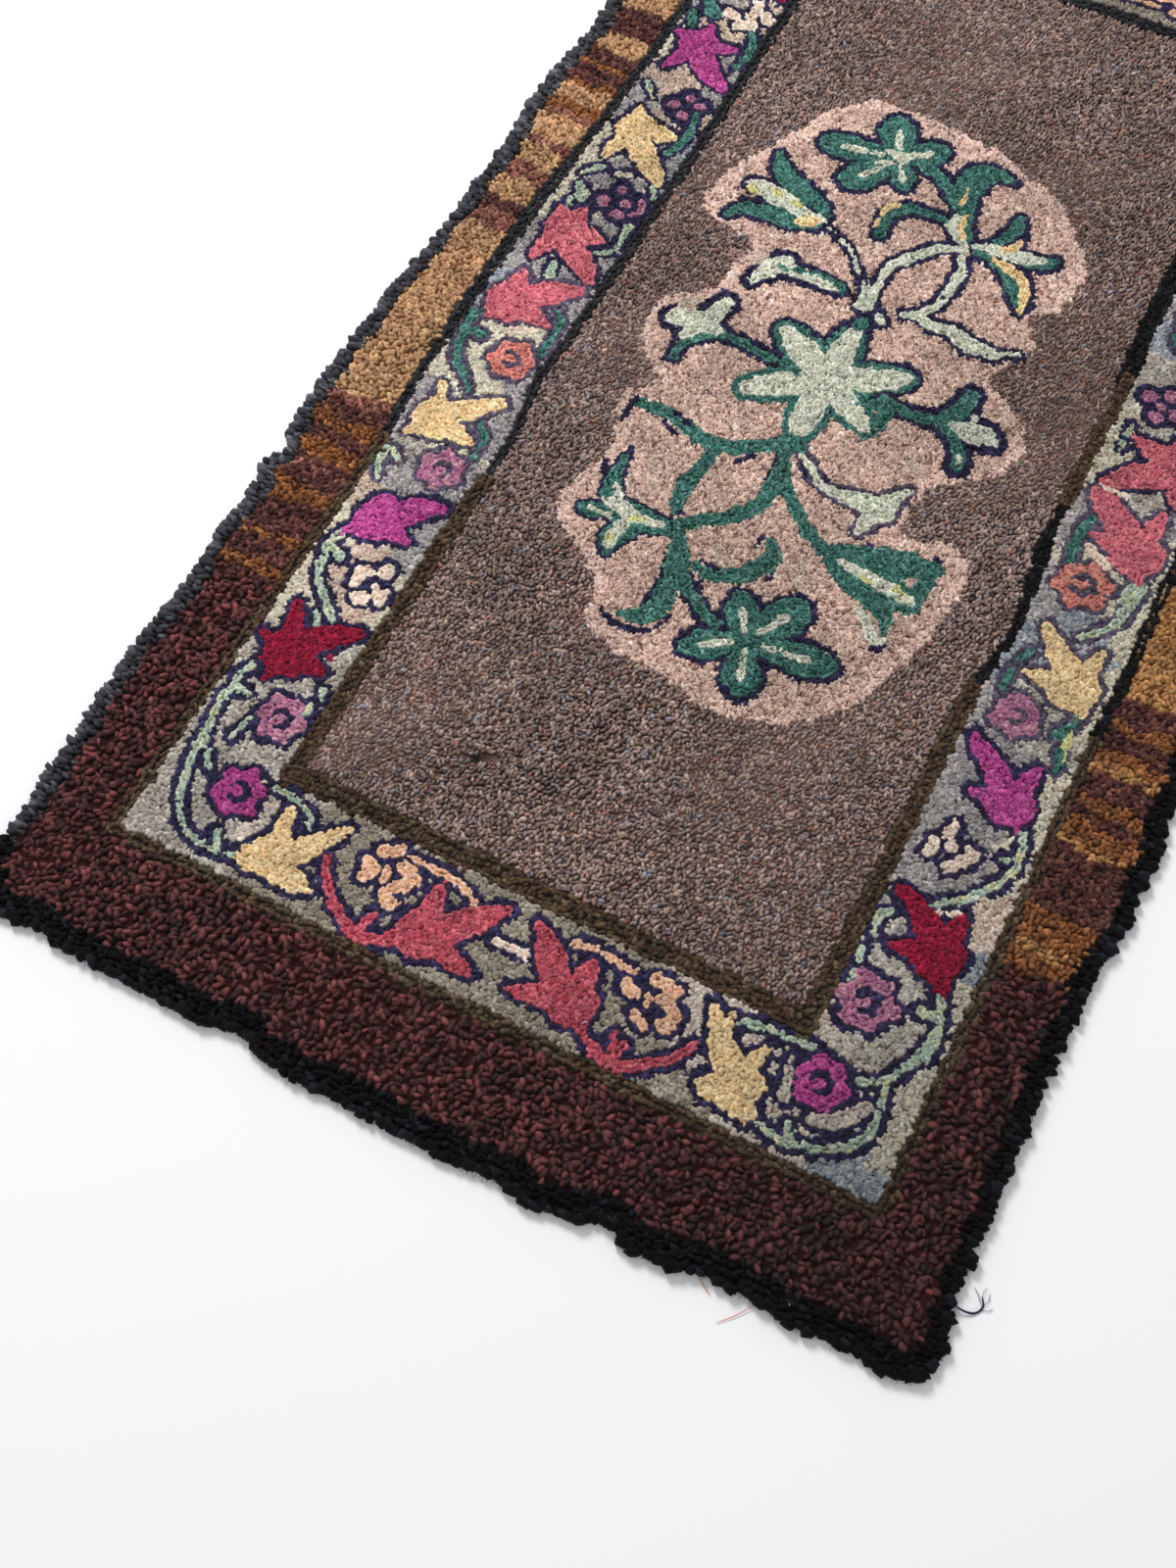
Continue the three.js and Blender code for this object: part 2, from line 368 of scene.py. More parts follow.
STROKE_STEP, PATCH_STEP = 7.0, 9.0


def run_gap(x: np.ndarray, y: np.ndarray, start: np.ndarray,
            end: np.ndarray) -> tuple[np.ndarray, np.ndarray]:
    """Works out how far places are from a straight run.

    Args:
        x: the places' x.
        y: the places' y.
        start: where the run starts.
        end: where it ends.

    Returns:
        The gaps, and how far along the run its nearest place is, as a share.
    """
    run_x, run_y = end[0] - start[0], end[1] - start[1]
    square = run_x**2 + run_y**2 + TINY
    along = np.clip(((x - start[0]) * run_x + (y - start[1]) * run_y) / square, 0, 1)
    return np.hypot(x - start[0] - along * run_x, y - start[1] - along * run_y), along


def stroke_distance(x: np.ndarray, y: np.ndarray, stroke: Stroke) -> np.ndarray:
    """Works out how far places are from a stroke's edge.

    Args:
        x: the places' x.
        y: the places' y.
        stroke: knots of x, y and width.

    Returns:
        The distances, negative inside the stroke.
    """
    knots = np.array(stroke, dtype=float)
    points = curve_through(knots, STROKE_STEP) if len(knots) > 2 else knots
    nearest = np.full(x.shape, np.inf)
    for start, end in zip(points[:-1], points[1:]):
        gap, along = run_gap(x, y, start, end)
        half_width = (start[2] + (end[2] - start[2]) * along) / 2
        nearest = np.minimum(nearest, gap - half_width)
    return nearest


def loop_distance(x: np.ndarray, y: np.ndarray, knots: tuple[tuple[float, float], ...]) -> np.ndarray:
    """Works out how far places are from a closed smooth outline.

    Args:
        x: the places' x.
        y: the places' y.
        knots: the outline's knots.

    Returns:
        The distances, negative inside the outline.
    """
    points = curve_through(np.array(knots, dtype=float), PATCH_STEP, closed=True)
    nearest = np.full(x.shape, np.inf)
    inside = np.zeros(x.shape, dtype=bool)
    for start, end in zip(points, np.roll(points, -1, axis=0)):
        nearest = np.minimum(nearest, run_gap(x, y, start, end)[0])
        run_x, run_y = end - start
        spans = (start[1] > y) != (end[1] > y)
        crossing = start[0] + (y - start[1]) * run_x / (run_y if run_y else TINY)
        inside ^= spans & (x < crossing)
    return np.where(inside, -nearest, nearest)


@dataclass(frozen=True)
class Ring:
    """A band of a wool round a figure, out to a distance from the figure's edge."""

    wool: Wool
    reach: float


NAVY_LINE = (Ring(Wool.NAVY, 5.2),)
SLATE_LINE = (Ring(Wool.SLATE, 4.8),)
FINE_LINE = (Ring(Wool.NAVY, 4.4),)
TEAL_RIM = (Ring(Wool.TEAL, 5.4), Ring(Wool.NAVY, 9.8))
TEAL_EDGE = (Ring(Wool.TEAL, 6.4),)
BOX_ROOM, PATCH_ROOM, WIDTH_ROOM = 6, 12, 0.6


@dataclass(frozen=True)
class Figure:
    """A figure of the pattern: strokes hooked in one wool, with rings of other wools round them.

    Attributes:
        wool: the wool inside.
        strokes: the strokes that make up the figure.
        rings: the rings round it, from the inmost outwards.
        patch: a closed outline that is filled instead of strokes.
        inset: how far inside the patch's outline the filling starts.
    """

    wool: Wool
    strokes: tuple[Stroke, ...] = ()
    rings: tuple[Ring, ...] = ()
    patch: tuple[tuple[float, float], ...] = ()
    inset: float = 0.0

    def distance(self, x: np.ndarray, y: np.ndarray) -> np.ndarray:
        """Works out how far places are from the figure's edge.

        Args:
            x: the places' x.
            y: the places' y.

        Returns:
            The distances, negative inside.
        """
        if self.patch:
            return loop_distance(x, y, self.patch) + self.inset
        return np.minimum.reduce([stroke_distance(x, y, stroke) for stroke in self.strokes])

    def box(self) -> tuple[float, float, float, float]:
        """Finds the box that the figure, its rings and its wobble reach.

        Returns:
            The lowest x and y, then the highest x and y.
        """
        reach = BOX_ROOM + (self.rings[-1].reach if self.rings else 0)
        knots = [(x, y, PATCH_ROOM) for x, y in self.patch]
        knots += [knot for stroke in self.strokes for knot in stroke]
        spread = [(x, y, reach + width * WIDTH_ROOM) for x, y, width in knots]
        return (
            min(x - r for x, y, r in spread),
            min(y - r for x, y, r in spread),
            max(x + r for x, y, r in spread),
            max(y + r for x, y, r in spread),
        )


def vine(wool: Wool, rings: tuple[Ring, ...], width: float, *places: tuple[float, float]) -> Figure:
    """Returns a stem of even width through places."""
    return Figure(wool, (tuple((x, y, width) for x, y in places),), rings)


def leaf(wool: Wool, rings: tuple[Ring, ...], *knots: Knot) -> Figure:
    """Returns a leaf or petal of one stroke, with a width at each knot."""
    return Figure(wool, (knots,), rings)


TULIP_SWELL, TULIP_ROOT, TULIP_TIP = 1.06, 0.25, 6.0
TULIP_ROOT_FAT, TULIP_BEND_FAT, TULIP_BEND = 1.25, 1.15, 0.62
ROSETTE_PETALS = 6
ROSETTE_NEAR, ROSETTE_HOOP = 0.62, 0.64
ROSETTE_CUTS = (7.0, 5.5)
ROSETTE_WIDTHS, ROSETTE_LEAN = (10.0, 11.5), 0.1
HOOP_SWEEPS, HOOP_WIDTH, HOOP_JOIN = range(15, 331, 31), 8.5, 5
NECK_WIDTH, EYE_WIDTH = 4.5, 7.5
BLOSSOM_HEART, BLOSSOM_ROOT, BLOSSOM_TIP = 22, 13, 0.62
BLOSSOM_SHARES = (0.2, 0.66, 0.86)
STREAK_WIDTHS = (5, 7)


def tulip(wool: Wool, rings: tuple[Ring, ...], body: Knot, *tips: Knot) -> Figure:
    """Draws a tulip seen from the side, with petals that taper from its body.

    Args:
        wool: its wool.
        rings: the rings round it.
        body: the middle and width of its body.
        tips: the tip of each petal, with the petal's width where it leaves the body.

    Returns:
        The tulip.
    """
    x, y, width = body
    strokes = [((x, y, width * TULIP_SWELL), (x + DOT, y, width * TULIP_SWELL))]
    for tip_x, tip_y, root in tips:
        start = min(TULIP_ROOT * width / math.dist((x, y), (tip_x, tip_y)), 0.5)
        petal = [
            (x + (tip_x - x) * share, y + (tip_y - y) * share, root * fat)
            for share, fat in ((start, TULIP_ROOT_FAT), (TULIP_BEND, TULIP_BEND_FAT))
        ]
        strokes.append((*petal, (tip_x, tip_y, TULIP_TIP)))
    return Figure(wool, tuple(strokes), rings)


def rosette(wool: Wool, rings: tuple[Ring, ...], x: float, y: float, radius: float, turn: float) -> Figure:
    """Draws a small round flower: a wreath of six petals about a ring-shaped gap and an eye.

    Args:
        wool: its wool.
        rings: the rings round it.
        x: its middle's x.
        y: its middle's y.
        radius: its reach.
        turn: the way of its first petal, in degrees.

    Returns:
        The rosette.
    """

    def knot(reach: float, angle: float, width: float) -> Knot:
        """Returns a knot at a reach and an angle from the middle."""
        return x + reach * math.cos(angle), y + reach * math.sin(angle), width

    petals = []
    for petal in range(ROSETTE_PETALS):
        angle = math.radians(turn + 360 // ROSETTE_PETALS * petal)
        near, far = radius * ROSETTE_NEAR, radius - ROSETTE_CUTS[petal % 2]
        root, tip = ROSETTE_WIDTHS
        petals.append((knot(near, angle, root), knot(far, angle + ROSETTE_LEAN, tip)))
    hoop = [math.radians(turn + sweep) for sweep in HOOP_SWEEPS]
    reach = radius * ROSETTE_HOOP
    petals.append(tuple(knot(reach, angle, HOOP_WIDTH) for angle in hoop))
    petals.append((knot(reach, hoop[HOOP_JOIN], NECK_WIDTH), (x, y, EYE_WIDTH)))
    return Figure(wool, tuple(petals), rings)


def blossom(x: float, y: float, petals: tuple[Knot, ...]) -> tuple[Figure, Figure]:
    """Draws a five-petalled teal flower with a pale streak down each petal.

    Args:
        x: its middle's x.
        y: its middle's y.
        petals: the tip of each petal, with its width.

    Returns:
        The flower and its streaks.
    """
    strokes = [((x, y, BLOSSOM_HEART), (x + DOT, y, BLOSSOM_HEART))]
    streaks = []
    for tip_x, tip_y, width in petals:
        root, fat, end = ((x + (tip_x - x) * share, y + (tip_y - y) * share) for share in BLOSSOM_SHARES)
        strokes.append(((x, y, BLOSSOM_ROOT), (*fat, width), (*end, width * BLOSSOM_TIP)))
        streaks.append(((*root, STREAK_WIDTHS[0]), (*fat, STREAK_WIDTHS[1])))
    flower = Figure(Wool.TEAL, tuple(strokes), NAVY_LINE)
    return flower, Figure(Wool.SAGE, tuple(streaks))


def strokes(wool: Wool, rings: tuple[Ring, ...], *parts: Stroke) -> Figure:
    """Returns a figure of several strokes in one wool."""
    return Figure(wool, parts, rings)


def spot(wool: Wool, x: float, y: float, width: float) -> Figure:
    """Returns a round spot without a line round it."""
    return Figure(wool, (((x, y, width), (x + DOT, y, width)),))


def mirrored(figure: Figure) -> Figure:
    """Returns the figure turned over to the far half of the rug."""
    turned = tuple(tuple((x, -y, width) for x, y, width in stroke) for stroke in figure.strokes)
    return Figure(figure.wool, turned, figure.rings, tuple((x, -y) for x, y in figure.patch))


BARE = ()

BOTTOM_FIGURES = (
    vine(Wool.MINT, NAVY_LINE, 6, (-293, -480), (-291, -500), (-288, -515), (-285, -540), (-281, -555),
        (-276, -568), (-268, -580), (-255, -590), (-240, -594), (-225, -593), (-212, -590)),
    vine(Wool.MINT, NAVY_LINE, 5, (-288, -515), (-278, -528), (-268, -540)),
    leaf(Wool.MINT, NAVY_LINE, (-235, -580, 6), (-228, -592, 5)),
    vine(Wool.MINT, NAVY_LINE, 5, (-263, -485), (-268, -508)),
    vine(Wool.MINT, NAVY_LINE, 5, (-225, -530), (-205, -530), (-190, -533), (-178, -540), (-175, -548)),
    strokes(Wool.ROSE, NAVY_LINE, ((-152, -561, 6), (-145, -573, 6), (-133, -585, 7), (-120, -595, 7),
        (-105, -602, 9), (-90, -600, 9), (-75, -595, 7)), ((-102, -598, 9), (-99, -583, 5))),
    vine(Wool.PEACH, NAVY_LINE, 5, (-97, -532), (-60, -533), (-45, -538), (-36, -543)),
    vine(Wool.CREAM, NAVY_LINE, 6, (-10, -561), (14, -560)),
    vine(Wool.PEACH, NAVY_LINE, 6, (42, -537), (56, -533)),
    vine(Wool.PEACH, NAVY_LINE, 5, (64, -534), (90, -536)),
    strokes(Wool.ROSE, NAVY_LINE, ((78, -592, 7), (90, -600, 8), (105, -604, 9), (122, -596, 9),
        (140, -582, 7), (150, -565, 6)), ((103, -598, 8), (98, -583, 5)), ((105, -597, 7),
        (107, -586, 5))),
    vine(Wool.MINT, NAVY_LINE, 6, (215, -595), (232, -598), (250, -594), (268, -585), (280, -575),
        (285, -560), (283, -540), (280, -525), (290, -505), (296, -480)),
    vine(Wool.MINT, NAVY_LINE, 5, (262, -535), (275, -530), (285, -518)),
    leaf(Wool.MINT, NAVY_LINE, (232, -585, 6), (236, -595, 5)),
    vine(Wool.MINT, NAVY_LINE, 5, (172, -535), (185, -531), (205, -530), (225, -527)),
    leaf(Wool.LILAC_GREY, NAVY_LINE, (245, -575, 8), (262, -567, 12), (275, -550, 8)),
    leaf(Wool.LILAC_GREY, NAVY_LINE, (215, -545, 6), (222, -570, 6)),
    rosette(Wool.MAGENTA, NAVY_LINE, -238, -545, 22, 20),
    rosette(Wool.MAGENTA, NAVY_LINE, 240, -548, 22, 52),
    strokes(Wool.PEACH, NAVY_LINE, ((-117, -538, 10), (-107, -530, 9)), ((-97, -541, 11), (-85, -547, 12),
        (-95, -558, 10), (-100, -566, 10), (-92, -570, 10)), ((-123, -550, 10), (-116, -552, 9),
        (-120, -561, 10)), ((-107, -548, 5), (-106, -557, 5))),
    strokes(Wool.PEACH, NAVY_LINE, ((106, -533, 10), (120, -535, 11), (118, -545, 10), (130, -552, 11),
        (125, -562, 11)), ((88, -547, 10), (96, -550, 9)), ((104, -545, 6), (108, -555, 5)),
        ((103, -563, 9), (112, -568, 9))),
    tulip(Wool.YELLOW, NAVY_LINE, (-188, -577, 34), (-196, -540, 13), (-151, -590, 12), (-213, -587, 12),
        (-200, -596, 12)),
    leaf(Wool.YELLOW, NAVY_LINE, (-178, -574, 22), (-160, -550, 15), (-148, -534, 6)),
    leaf(Wool.YELLOW, NAVY_LINE, (-205, -588, 14), (-162, -590, 14)),
    tulip(Wool.ROSE, NAVY_LINE, (-60, -580, 38), (-66, -541, 14), (-14, -592, 13), (-80, -592, 12)),
    leaf(Wool.ROSE, NAVY_LINE, (-50, -574, 24), (-30, -553, 21), (-12, -535, 6)),
    tulip(Wool.ROSE, NAVY_LINE, (60, -576, 36), (61, -543, 16), (16, -588, 13), (77, -592, 12)),
    leaf(Wool.ROSE, NAVY_LINE, (50, -575, 24), (30, -552, 21), (12, -535, 6)),
    tulip(Wool.YELLOW, NAVY_LINE, (189, -576, 36), (195, -544, 12), (163, -587, 13), (204, -598, 12)),
    leaf(Wool.YELLOW, NAVY_LINE, (178, -566, 22), (162, -548, 16), (150, -532, 7)),
    leaf(Wool.YELLOW, NAVY_LINE, (172, -588, 14), (204, -590, 14)),
    leaf(Wool.YELLOW, NAVY_LINE, (166, -550, 10), (165, -533, 5)),
)

LEFT_LOWER_FIGURES = (
    strokes(Wool.MINT, NAVY_LINE, ((-288, -312, 6), (-293, -325, 7), (-290, -340, 7), (-287, -352, 6),
        (-280, -362, 6), (-270, -370, 6), (-260, -380, 6), (-252, -388, 5)), ((-290, -328, 7),
        (-277, -332, 9))),
    strokes(Wool.MINT, NAVY_LINE, ((-287, -450, 6), (-293, -460, 7), (-290, -470, 7), (-293, -485, 6),
        (-291, -500, 6)), ((-290, -468, 7), (-278, -472, 6))),
    strokes(Wool.MINT, NAVY_LINE, ((-268, -385, 5), (-262, -395, 5)), ((-227, -443, 5), (-225, -450, 5)),
        ((-228, -458, 5), (-228, -470, 5))),
    strokes(Wool.CREAM, NAVY_LINE, ((-238, -330, 13), (-238, -326, 12)), ((-248, -334, 9),
        (-257, -336, 11), (-255, -348, 10)), ((-246, -359, 12), (-243, -357, 12)), ((-230, -354, 12),
        (-228, -345, 8)), ((-240, -343, 5), (-236, -347, 5))),
    rosette(Wool.MAUVE, NAVY_LINE, -243, -478, 22, 60),
    tulip(Wool.MAGENTA, NAVY_LINE, (-270, -291, 36), (-273, -266, 22), (-238, -297, 13), (-287, -310, 12)),
    leaf(Wool.MAGENTA, NAVY_LINE, (-262, -283, 27), (-243, -264, 22), (-228, -257, 10)),
    tulip(Wool.CRIMSON, NAVY_LINE, (-268, -426, 40), (-286, -384, 13), (-235, -430, 13), (-273, -452, 12),
        (-296, -420, 10)),
    leaf(Wool.CRIMSON, NAVY_LINE, (-260, -414, 24), (-245, -398, 20), (-228, -388, 9)),
    spot(Wool.CRIMSON, -237, -417, 6),
    spot(Wool.STONE, -275, -485, 14),
    strokes(Wool.MINT, SLATE_LINE, ((-298, -225, 6), (-298, -240, 6), (-292, -252, 5)), ((-295, -222, 6),
        (-285, -230, 7))),
    rosette(Wool.MAUVE, SLATE_LINE, -248, -223, 21, 95),
    strokes(Wool.TEAL, SLATE_LINE, ((-242, -168, 5), (-233, -178, 6), (-230, -190, 6), (-231, -203, 5))),
    tulip(Wool.YELLOW, SLATE_LINE, (-277, -181, 38), (-291, -146, 10), (-239, -190, 15), (-293, -203, 14)),
    leaf(Wool.YELLOW, SLATE_LINE, (-268, -170, 22), (-255, -158, 20), (-236, -144, 11)),
    rosette(Wool.CORAL, SLATE_LINE, -251, -99, 22, 10),
    strokes(Wool.TEAL, SLATE_LINE, ((-303, -70, 9), (-302, -85, 9), (-300, -100, 8), (-295, -115, 8),
        (-285, -127, 7), (-275, -135, 6), (-267, -143, 5)), ((-300, -88, 8), (-286, -88, 9))),
    strokes(Wool.TEAL, SLATE_LINE, ((-240, -35, 5), (-233, -45, 6), (-231, -60, 6), (-231, -85, 5))),
    leaf(Wool.CREAM, BARE, (-265, -72, 8), (-245, -62, 6)),
    tulip(Wool.CORAL_ROSE, SLATE_LINE, (-281, -45, 42), (-288, -10, 16), (-243, -54, 15), (-292, -68, 12)),
    leaf(Wool.CORAL_ROSE, SLATE_LINE, (-270, -34, 27), (-252, -20, 24), (-235, -9, 12)),
)

LEFT_UPPER_FIGURES = (
    leaf(Wool.MINT, FINE_LINE, (-268, 8, 8), (-266, -5, 8)),
    leaf(Wool.MINT, FINE_LINE, (-296, 112, 5), (-290, 121, 6), (-281, 127, 5)),
    leaf(Wool.BEAD, FINE_LINE, (-268, 125, 5), (-256, 129, 6)),
    leaf(Wool.MINT, FINE_LINE, (-226, 116, 5), (-232, 126, 5)),
    leaf(Wool.MINT, FINE_LINE, (-294, 236, 5), (-286, 228, 6), (-281, 220, 5)),
    strokes(Wool.MINT, FINE_LINE, ((-230, 75, 9), (-229, 62, 6), (-228, 50, 5), (-233, 40, 5),
        (-243, 35, 5))),
    strokes(Wool.MINT, FINE_LINE, ((-290, 98, 10), (-285, 92, 14), (-283, 86, 8)), ((-291, 80, 6),
        (-290, 74, 5))),
    strokes(Wool.MAUVE, (Ring(Wool.NAVY, 8),), ((-255, 110, 8), (-254, 109, 8)), ((-265, 93, 10),
        (-262, 90, 10)), ((-245, 97, 9), (-244, 97, 9)), ((-232, 105, 8), (-228, 95, 8)), ((-247, 83, 8),
        (-243, 83, 8)), ((-234, 89, 5), (-233, 89, 5))),
    tulip(Wool.CORAL_ROSE, FINE_LINE, (-279, 48, 36), (-294, 68, 16), (-273, 76, 16), (-243, 50, 18),
        (-290, 8, 15)),
    leaf(Wool.CORAL_ROSE, FINE_LINE, (-270, 36, 27), (-250, 22, 22), (-238, 12, 16), (-231, 3, 9)),
    tulip(Wool.YELLOW, FINE_LINE, (-276, 181, 36), (-240, 186, 18), (-288, 140, 15), (-285, 205, 14)),
    leaf(Wool.YELLOW, FINE_LINE, (-268, 167, 24), (-250, 150, 22), (-235, 138, 16), (-229, 131, 9)),
    strokes(Wool.TEAL, FINE_LINE, ((-235, 220, 6), (-231, 200, 8), (-233, 180, 9), (-240, 165, 6))),
    strokes(Wool.MAUVE, (Ring(Wool.NAVY, 8),), ((-260, 222, 9), (-259, 223, 9)), ((-247, 213, 9),
        (-245, 214, 9)), ((-236, 230, 9), (-237, 229, 9)), ((-250, 236, 9), (-249, 235, 9))),
    strokes(Wool.TEAL, FINE_LINE, ((-234, 333, 6), (-227, 320, 8), (-226, 300, 8), (-229, 288, 6))),
    tulip(Wool.MAGENTA, FINE_LINE, (-272, 299, 36), (-296, 307, 14), (-270, 325, 14), (-238, 308, 13),
        (-289, 262, 13)),
    leaf(Wool.MAGENTA, FINE_LINE, (-264, 289, 24), (-248, 272, 22), (-229, 259, 11)),
    strokes(Wool.CREAM, FINE_LINE, ((-245, 372, 11), (-243, 360, 12), (-245, 350, 10)), ((-231, 358, 13),
        (-226, 355, 13)), ((-266, 350, 12), (-258, 347, 13)), ((-250, 338, 13), (-238, 343, 12))),
    strokes(Wool.TEAL, FINE_LINE, ((-290, 355, 11), (-280, 345, 15), (-275, 340, 12)), ((-295, 335, 9),
        (-290, 322, 9))),
)

RIGHT_LOWER_FIGURES = (
    strokes(Wool.MINT, NAVY_LINE, ((293, -310, 6), (297, -325, 6), (298, -340, 6), (294, -352, 6),
        (285, -365, 6), (275, -378, 6), (262, -388, 6), (255, -393, 5)), ((291, -335, 5), (288, -336, 5))),
    leaf(Wool.CREAM, BARE, (260, -397, 5), (275, -390, 5)),
    leaf(Wool.TAN, BARE, (290, -376, 12), (297, -405, 14)),
    strokes(Wool.MINT, NAVY_LINE, ((288, -452, 8), (293, -465, 8), (297, -480, 7), (297, -500, 6)),
        ((292, -468, 7), (280, -470, 6))),
    strokes(Wool.MINT, NAVY_LINE, ((232, -410, 5), (226, -415, 5), (227, -432, 5)), ((225, -445, 5),
        (226, -455, 5)), ((227, -463, 5), (227, -470, 5))),
    strokes(Wool.CREAM, NAVY_LINE, ((246, -335, 10), (246, -328, 9)), ((238, -345, 9), (237, -355, 9)),
        ((250, -343, 9), (251, -344, 9)), ((262, -340, 8), (268, -343, 9), (262, -352, 11)),
        ((254, -360, 9), (256, -359, 9))),
    rosette(Wool.MAUVE, NAVY_LINE, 244, -480, 24, 55),
    tulip(Wool.MAGENTA, NAVY_LINE, (275, -293, 35), (283, -256, 13), (246, -295, 13), (288, -310, 11)),
    leaf(Wool.MAGENTA, NAVY_LINE, (266, -283, 24), (252, -268, 17), (240, -260, 15), (231, -251, 7)),
    tulip(Wool.CRIMSON, NAVY_LINE, (274, -425, 38), (281, -389, 14), (243, -433, 13), (289, -451, 13)),
    leaf(Wool.CRIMSON, NAVY_LINE, (264, -412, 24), (250, -400, 18), (233, -391, 9)),
    spot(Wool.GREY, 243, -420, 9),
    strokes(Wool.LEMON, BARE, ((293, -215, 7), (295, -230, 7)), ((295, -238, 8), (295, -243, 7))),
    strokes(Wool.TEAL, SLATE_LINE, ((295, -200, 6), (290, -215, 8), (287, -222, 11)), ((292, -235, 6),
        (295, -250, 6))),
    strokes(Wool.TEAL, SLATE_LINE, ((241, -164, 7), (236, -173, 7)), ((234, -188, 7), (233, -202, 6))),
    rosette(Wool.MAUVE, SLATE_LINE, 252, -222, 20, 30),
    tulip(Wool.YELLOW, SLATE_LINE, (280, -179, 40), (291, -141, 13), (244, -183, 14), (297, -201, 12)),
    leaf(Wool.YELLOW, SLATE_LINE, (272, -166, 24), (255, -150, 17), (243, -137, 7)),
    leaf(Wool.MINT, SLATE_LINE, (295, -73, 12), (291, -85, 14), (293, -95, 9), (290, -110, 8),
        (283, -122, 7), (270, -135, 6)),
    rosette(Wool.CORAL, SLATE_LINE, 255, -90, 25, 15),
    leaf(Wool.CREAM, BARE, (247, -55, 8), (265, -65, 8)),
    strokes(Wool.TEAL, SLATE_LINE, ((240, -28, 6), (236, -35, 7), (236, -55, 7), (237, -73, 6))),
    tulip(Wool.CORAL_ROSE, SLATE_LINE, (281, -44, 42), (289, 0, 14), (246, -43, 15), (293, -68, 12)),
    leaf(Wool.CORAL_ROSE, SLATE_LINE, (270, -32, 29), (250, -15, 24), (240, -7, 18), (232, -3, 10)),
)

RIGHT_UPPER_FIGURES = (
    strokes(Wool.MINT, FINE_LINE, ((235, 72, 5), (235, 62, 5)), ((235, 52, 5), (235, 46, 5))),
    vine(Wool.CREAM, BARE, 6, (236, 5), (255, 3)),
    strokes(Wool.MAUVE, (Ring(Wool.NAVY, 6),), ((237, 107, 12), (239, 106, 12)), ((254, 114, 12),
        (256, 113, 12)), ((249, 88, 11), (251, 89, 11)), ((262, 98, 11), (263, 96, 11)), ((249, 101, 6),
        (250, 101, 6))),
    tulip(Wool.CORAL_ROSE, FINE_LINE, (284, 46, 40), (243, 62, 17), (293, 12, 14), (275, 76, 16)),
    leaf(Wool.CORAL_ROSE, FINE_LINE, (275, 38, 29), (255, 25, 24), (243, 15, 18), (235, 10, 10)),
)

# Painted shadow: a slit where the field's loops are parted, marked in black; its loops are left out and the
# cloth beneath takes the black.
FIELD_SLIT_SHADOWS = (
    leaf(Wool.BLACK, BARE, (-104, -443, 5.0), (-91, -437, 7.5), (-78, -431, 5.0)),
)

FIRST_HIDDEN = {Side.LEFT: 383, Side.RIGHT: 138, Side.TOP: 0}
HIDDEN_ROOM = {Side.LEFT: 15, Side.RIGHT: 12}

MEDALLION_PATCH = (
    (-95, 308), (-50, 311), (-10, 306), (28, 300), (60, 285), (95, 270), (120, 240), (142, 212), (140, 160),
    (118, 135), (135, 108), (118, 80), (115, 57), (150, 38), (165, 10), (158, -20), (130, -45), (112, -60),
    (108, -112), (160, -102), (172, -140), (165, -200), (150, -240), (128, -282), (90, -312), (40, -322),
    (-5, -312), (-55, -308), (-80, -292), (-84, -265), (-110, -240), (-142, -218), (-150, -190),
    (-136, -150), (-142, -110), (-155, -92), (-132, -62), (-156, -40), (-168, -10), (-163, 22), (-132, 48),
    (-128, 70), (-128, 108), (-180, 125), (-182, 165), (-160, 215), (-142, 250), (-125, 282),
)

SAND_PATCHES = tuple(leaf(Wool.SAND, BARE, *knots) for knots in (
    ((-96, -125, 12), (-92, -145, 16), (-88, -158, 10)),
    ((-14, -190, 12), (-4, -197, 14)),
    ((86, -44, 12), (97, -50, 14)),
    ((-108, 100, 8), (-115, 90, 10), (-120, 96, 8)),
    ((-150, 10, 10), (-140, 30, 10)),
    ((52, -172, 12), (60, -190, 12)),
    ((-52, -72, 12), (-40, -72, 10)),
))

STAR_PETALS = tuple(Figure(Wool.SAGE, (stroke,), rim) for rim, stroke in (
    (TEAL_RIM, ((-7, 8, 24), (-7, 34, 24), (-6.5, 56, 13))),
    (TEAL_RIM, ((-5, 4, 22), (26, 17, 25), (50, 30, 15))),
    (TEAL_EDGE, ((-4, -2, 24), (22, -16, 23), (43, -30, 9))),
    (TEAL_EDGE, ((-7, -8, 24), (-6, -40, 25), (-6, -58, 14))),
    (TEAL_EDGE, ((-12, -3, 24), (-40, -21, 24), (-62, -36, 15))),
    (TEAL_RIM, ((-12, 6, 24), (-38, 21, 26), (-57, 32, 14))),
))

